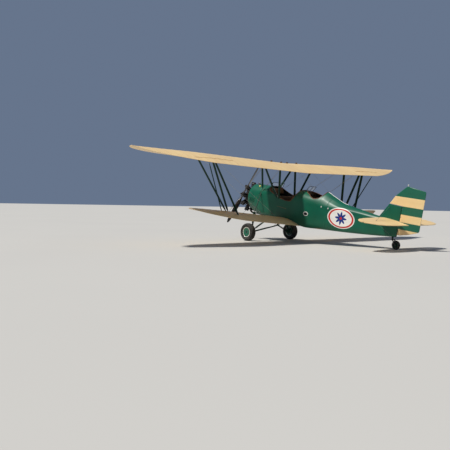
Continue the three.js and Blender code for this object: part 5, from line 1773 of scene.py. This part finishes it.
def seats():
    """Each seat is a plywood box and back board in its solid's place, with a cushion and a back pad."""
    for node, row in SEATS.items():
        x, depth, half, pan, channels = (row[key] for key in ("x", "depth", "half", "pan", "channels"))
        lean = np.array([-row["rake"], 0, row["top"] - pan])
        side_limit = lambda at_x, at_z: min(half, float(side_y(at_x, at_z)) - 0.026)
        back, front = x - 0.085, x + depth - 0.006
        rows = []
        for at_z in (row["foot"], pan - PAD["pan"]):
            limit = side_limit(x, at_z) - 0.004
            rows.append(np.array([[back, -limit, at_z], [front, -limit, at_z], [front, limit, at_z],
                                  [back, limit, at_z]]))
        shapes = [capped(np.array(rows))]
        rows = []
        for share in np.linspace(0, 1, 9):
            centre_x, _, at_z = np.array([x, 0, pan]) + share * lean
            back, front = centre_x - BACK_THICK, centre_x - PAD["back"]
            limit = (side_limit(centre_x - 0.05, at_z) - 0.004) * (1 - 0.1 * share ** 6)
            rows.append(np.array([[back, -limit, at_z], [front, -limit, at_z], [front, limit, at_z],
                                  [back, limit, at_z]]))
        shapes.append(capped(np.array(rows)))
        piece(f"{node}_frame", shapes, plywood, stands_for=[node], bevel=0.003)
        reach = 2 * (side_limit(x, pan - 0.05) - 0.012)
        pad(f"{node}_cushion", (x + 0.004, -reach / 2, pan - PAD["pan"] + 0.002), (depth - 0.014, 0, 0),
            (0, reach, 0), (0, 0, PAD["pan"] - PAD["swell"]), channels)
        pad(f"{node}_back", (x - PAD["back"] - 0.001, -reach / 2, pan + 0.012), lean * 0.95, (0, reach, 0),
            (PAD["back"] - PAD["swell"], 0, 0), channels)
    foot, top = HEADREST
    pad("headrest", foot - (0.022, 0.105, 0), top - foot, (0, 0.21, 0), (0.042, 0, 0.012), 3)


# Floorboards: where each cockpit's floor starts and ends, the planks' middles and how wide and thick one is
FLOORS = ((-1.455, 0.2), (-2.7, -1.53))
PLANK = dict(first=-0.36, last=0.36, count=7, half=0.054, thick=0.012, lowest=0.646, above_belly=0.03)
# Stick and grip as centre lines, and the x and heights of the rudder pedals' posts
STICK_LINE = [(-1.86, 0, 0.69), (-1.86, 0, 0.9), (-1.9, 0, 1.16), (-1.93, 0, 1.3)]
GRIP_LINE = [(-1.926, 0, 1.285), (-1.938, 0, 1.34), (-1.945, 0, 1.4)]
PEDALS = dict(foot_x=-1.6, head_x=-1.62, y=0.17, low=0.69, high=0.85, half_bar=0.06)
# Instrument panels: x of the front, bottom and top, and the dials' middles as y and z
PANELS = {
    "pilot": dict(x=-1.625, low=1.62, high=1.845,
                  dials=[(-0.26, 1.74), (-0.13, 1.76), (0.0, 1.77), (0.13, 1.76), (0.26, 1.74)]),
    "front": dict(x=0.02, low=1.5, high=1.7, dials=[(-0.12, 1.6), (0.12, 1.6)]),
}
PANEL_THICK = 0.01
# A dial's rim and face, as radius and height over the panel
DIAL_RIM = [(0.034, 0.0), (0.04, 0.0), (0.04, 0.006), (0.037, 0.009), (0.034, 0.008), (0.034, 0.0)]
DIAL_FACE = [(0.0, 0.0), (0.034, 0.0), (0.034, 0.003), (0.0, 0.003)]


def floorboards():
    """Planks with gaps between them over the belly of both cockpits, trimmed at the sides."""
    planks = []
    for low_x, high_x in FLOORS:
        x = np.linspace(low_x, high_x, 24)
        belly = smooth(x, SECTIONS[:, 0], SECTIONS[:, 3])
        z = np.maximum(belly + PLANK["above_belly"], PLANK["lowest"])
        for middle in np.linspace(PLANK["first"], PLANK["last"], PLANK["count"]):
            edge = np.minimum(PLANK["half"], np.maximum(side_y(x, z) - 0.02 - abs(middle), 0.004))
            sides = np.stack([middle - edge, middle + edge, middle + edge, middle - edge], -1)
            heights = z[:, None] + np.array([0, 0, PLANK["thick"], PLANK["thick"]])
            planks.append(capped(np.stack(np.broadcast_arrays(x[:, None], sides, heights), -1)))
    piece("floorboards", planks, plywood)


def controls():
    """The stick on its ball with a grip, and the rudder pedals' posts with their bars."""
    stick = [bent(STICK_LINE, 0.012, 12, 6), ball((-1.86, 0, 0.7), (0.045, 0.045, 0.028), 10, 20)]
    grip = [bent(GRIP_LINE, 0.018, 14, 6)]
    foot_x, head_x, low, high = (PEDALS[key] for key in ("foot_x", "head_x", "low", "high"))
    for side in SIDES.values():
        y = side * PEDALS["y"]
        stick.append(rod((foot_x, y, low), (head_x, y, high), 0.009, 10))
        ends = (side * (PEDALS["y"] - PEDALS["half_bar"]), side * (PEDALS["y"] + PEDALS["half_bar"]))
        grip.append(rod((head_x, ends[0], high), (head_x, ends[1], high), 0.016, 14))
    piece("stick_and_pedals", stick, steel)
    piece("grip_and_bars", grip, rubber)


def panels():
    """A plywood panel across each cockpit, its dials with rims, faces, twelve marks and a hand."""
    for name, row in PANELS.items():
        z = np.linspace(row["low"], row["high"], 10)
        y = side_y(row["x"], z) - 0.022
        outline = np.column_stack([np.append(y, -y[::-1]), np.append(z, z[::-1])])
        face_x = row["x"] - PANEL_THICK
        rows = [np.column_stack([np.full(len(outline), at), outline]) for at in (row["x"], face_x)]
        piece(f"{name}_panel", [capped(np.array(rows))], plywood, bevel=0.001)
        rims, faces, marks = [], [], []
        for number, (dial_y, dial_z) in enumerate(row["dials"]):
            seat = (face_x, dial_y, dial_z)
            rims.append(turned(DIAL_RIM, seat, (-1, 0, 0), 32))
            faces.append(turned(DIAL_FACE, seat, (-1, 0, 0), 32))
            centre = np.array([face_x - 0.0034, dial_y, dial_z])
            for up, across in ring_of(12, 1.0):
                way = np.array([0, across, up])
                marks.append(rod(centre + 0.024 * way, centre + 0.031 * way, 0.001, 5))
            hand = 1.1 * number - 1
            way = np.array([0, math.sin(hand), math.cos(hand)])
            marks.append(rod(centre - 0.006 * way, centre + 0.022 * way, 0.0013, 5))
        piece(f"{name}_dial_rims", rims, black)
        piece(f"{name}_dial_faces", faces, dial_black)
        piece(f"{name}_dial_marks", marks, white_paint)


seats()
floorboards()
controls()
panels()


# Floor, light and camera

FLOOR_HALF = 400.0
SKY, SKY_STRENGTH = linear(178, 202, 240), 0.3
SUN = dict(energy=3.85, spread=5, color=(1.0, 0.96, 0.9), toward=(-0.22, -0.53, -1.0))


def pale_floor():
    """A plain matt floor whose tone drifts very slightly."""
    made = Finish("pale_floor", roughness=0.9)
    cloud = made.noise(0.15, 2)
    return made.set(base_color=made.mix(linear(196, 194, 188), linear(190, 188, 183), cloud)).material


def studio():
    """A wide square floor, a pale sky on all sides and one soft sun from ahead on the port side."""
    x, y = np.meshgrid([-FLOOR_HALF, FLOOR_HALF], [-FLOOR_HALF, FLOOR_HALF])
    points = np.stack([x, y, 0 * x], axis=-1)
    floor_mesh = mesh_of("floor", [lattice(points)], place=lambda p: p)
    floor_mesh.materials.append(pale_floor())
    added("floor", floor_mesh)
    world = bpy.data.worlds.new("studio")
    world.use_nodes = True
    sky = world.node_tree.nodes["Background"].inputs
    sky["Color"].default_value, sky["Strength"].default_value = SKY, SKY_STRENGTH
    bpy.context.scene.world = world
    key = bpy.data.lights.new("key", "SUN")
    key.energy, key.angle, key.color = SUN["energy"], math.radians(SUN["spread"]), SUN["color"]
    lamp = added("key", key)
    lamp.rotation_mode = "QUATERNION"
    lamp.rotation_quaternion = Vector(SUN["toward"]).to_track_quat("-Z", "Y")


def camera():
    """The lens at its eye point, turned by its heading, then tilted, then rolled."""
    lens = bpy.data.cameras.new("camera")
    lens.lens, lens.sensor_width, lens.sensor_fit = LENS, SENSOR, "HORIZONTAL"
    lens.clip_start, lens.clip_end = 0.1, 900
    made = added("camera", lens)
    ahead = Vector((math.sin(HEADING), -math.cos(HEADING), 0))
    right = Vector((-math.cos(HEADING), -math.sin(HEADING), 0))
    up = Vector(UP)
    view = ahead * math.cos(TILT) - up * math.sin(TILT)
    top = ahead * math.sin(TILT) + up * math.cos(TILT)
    x_axis = right * math.cos(ROLL) + top * math.sin(ROLL)
    y_axis = top * math.cos(ROLL) - right * math.sin(ROLL)
    turn = Matrix((x_axis, y_axis, -view)).transposed()
    made.matrix_world = Matrix.Translation(EYE) @ turn.to_4x4()
    bpy.context.scene.camera = made


studio()
camera()
bpy.context.scene.view_settings.view_transform = "Standard"
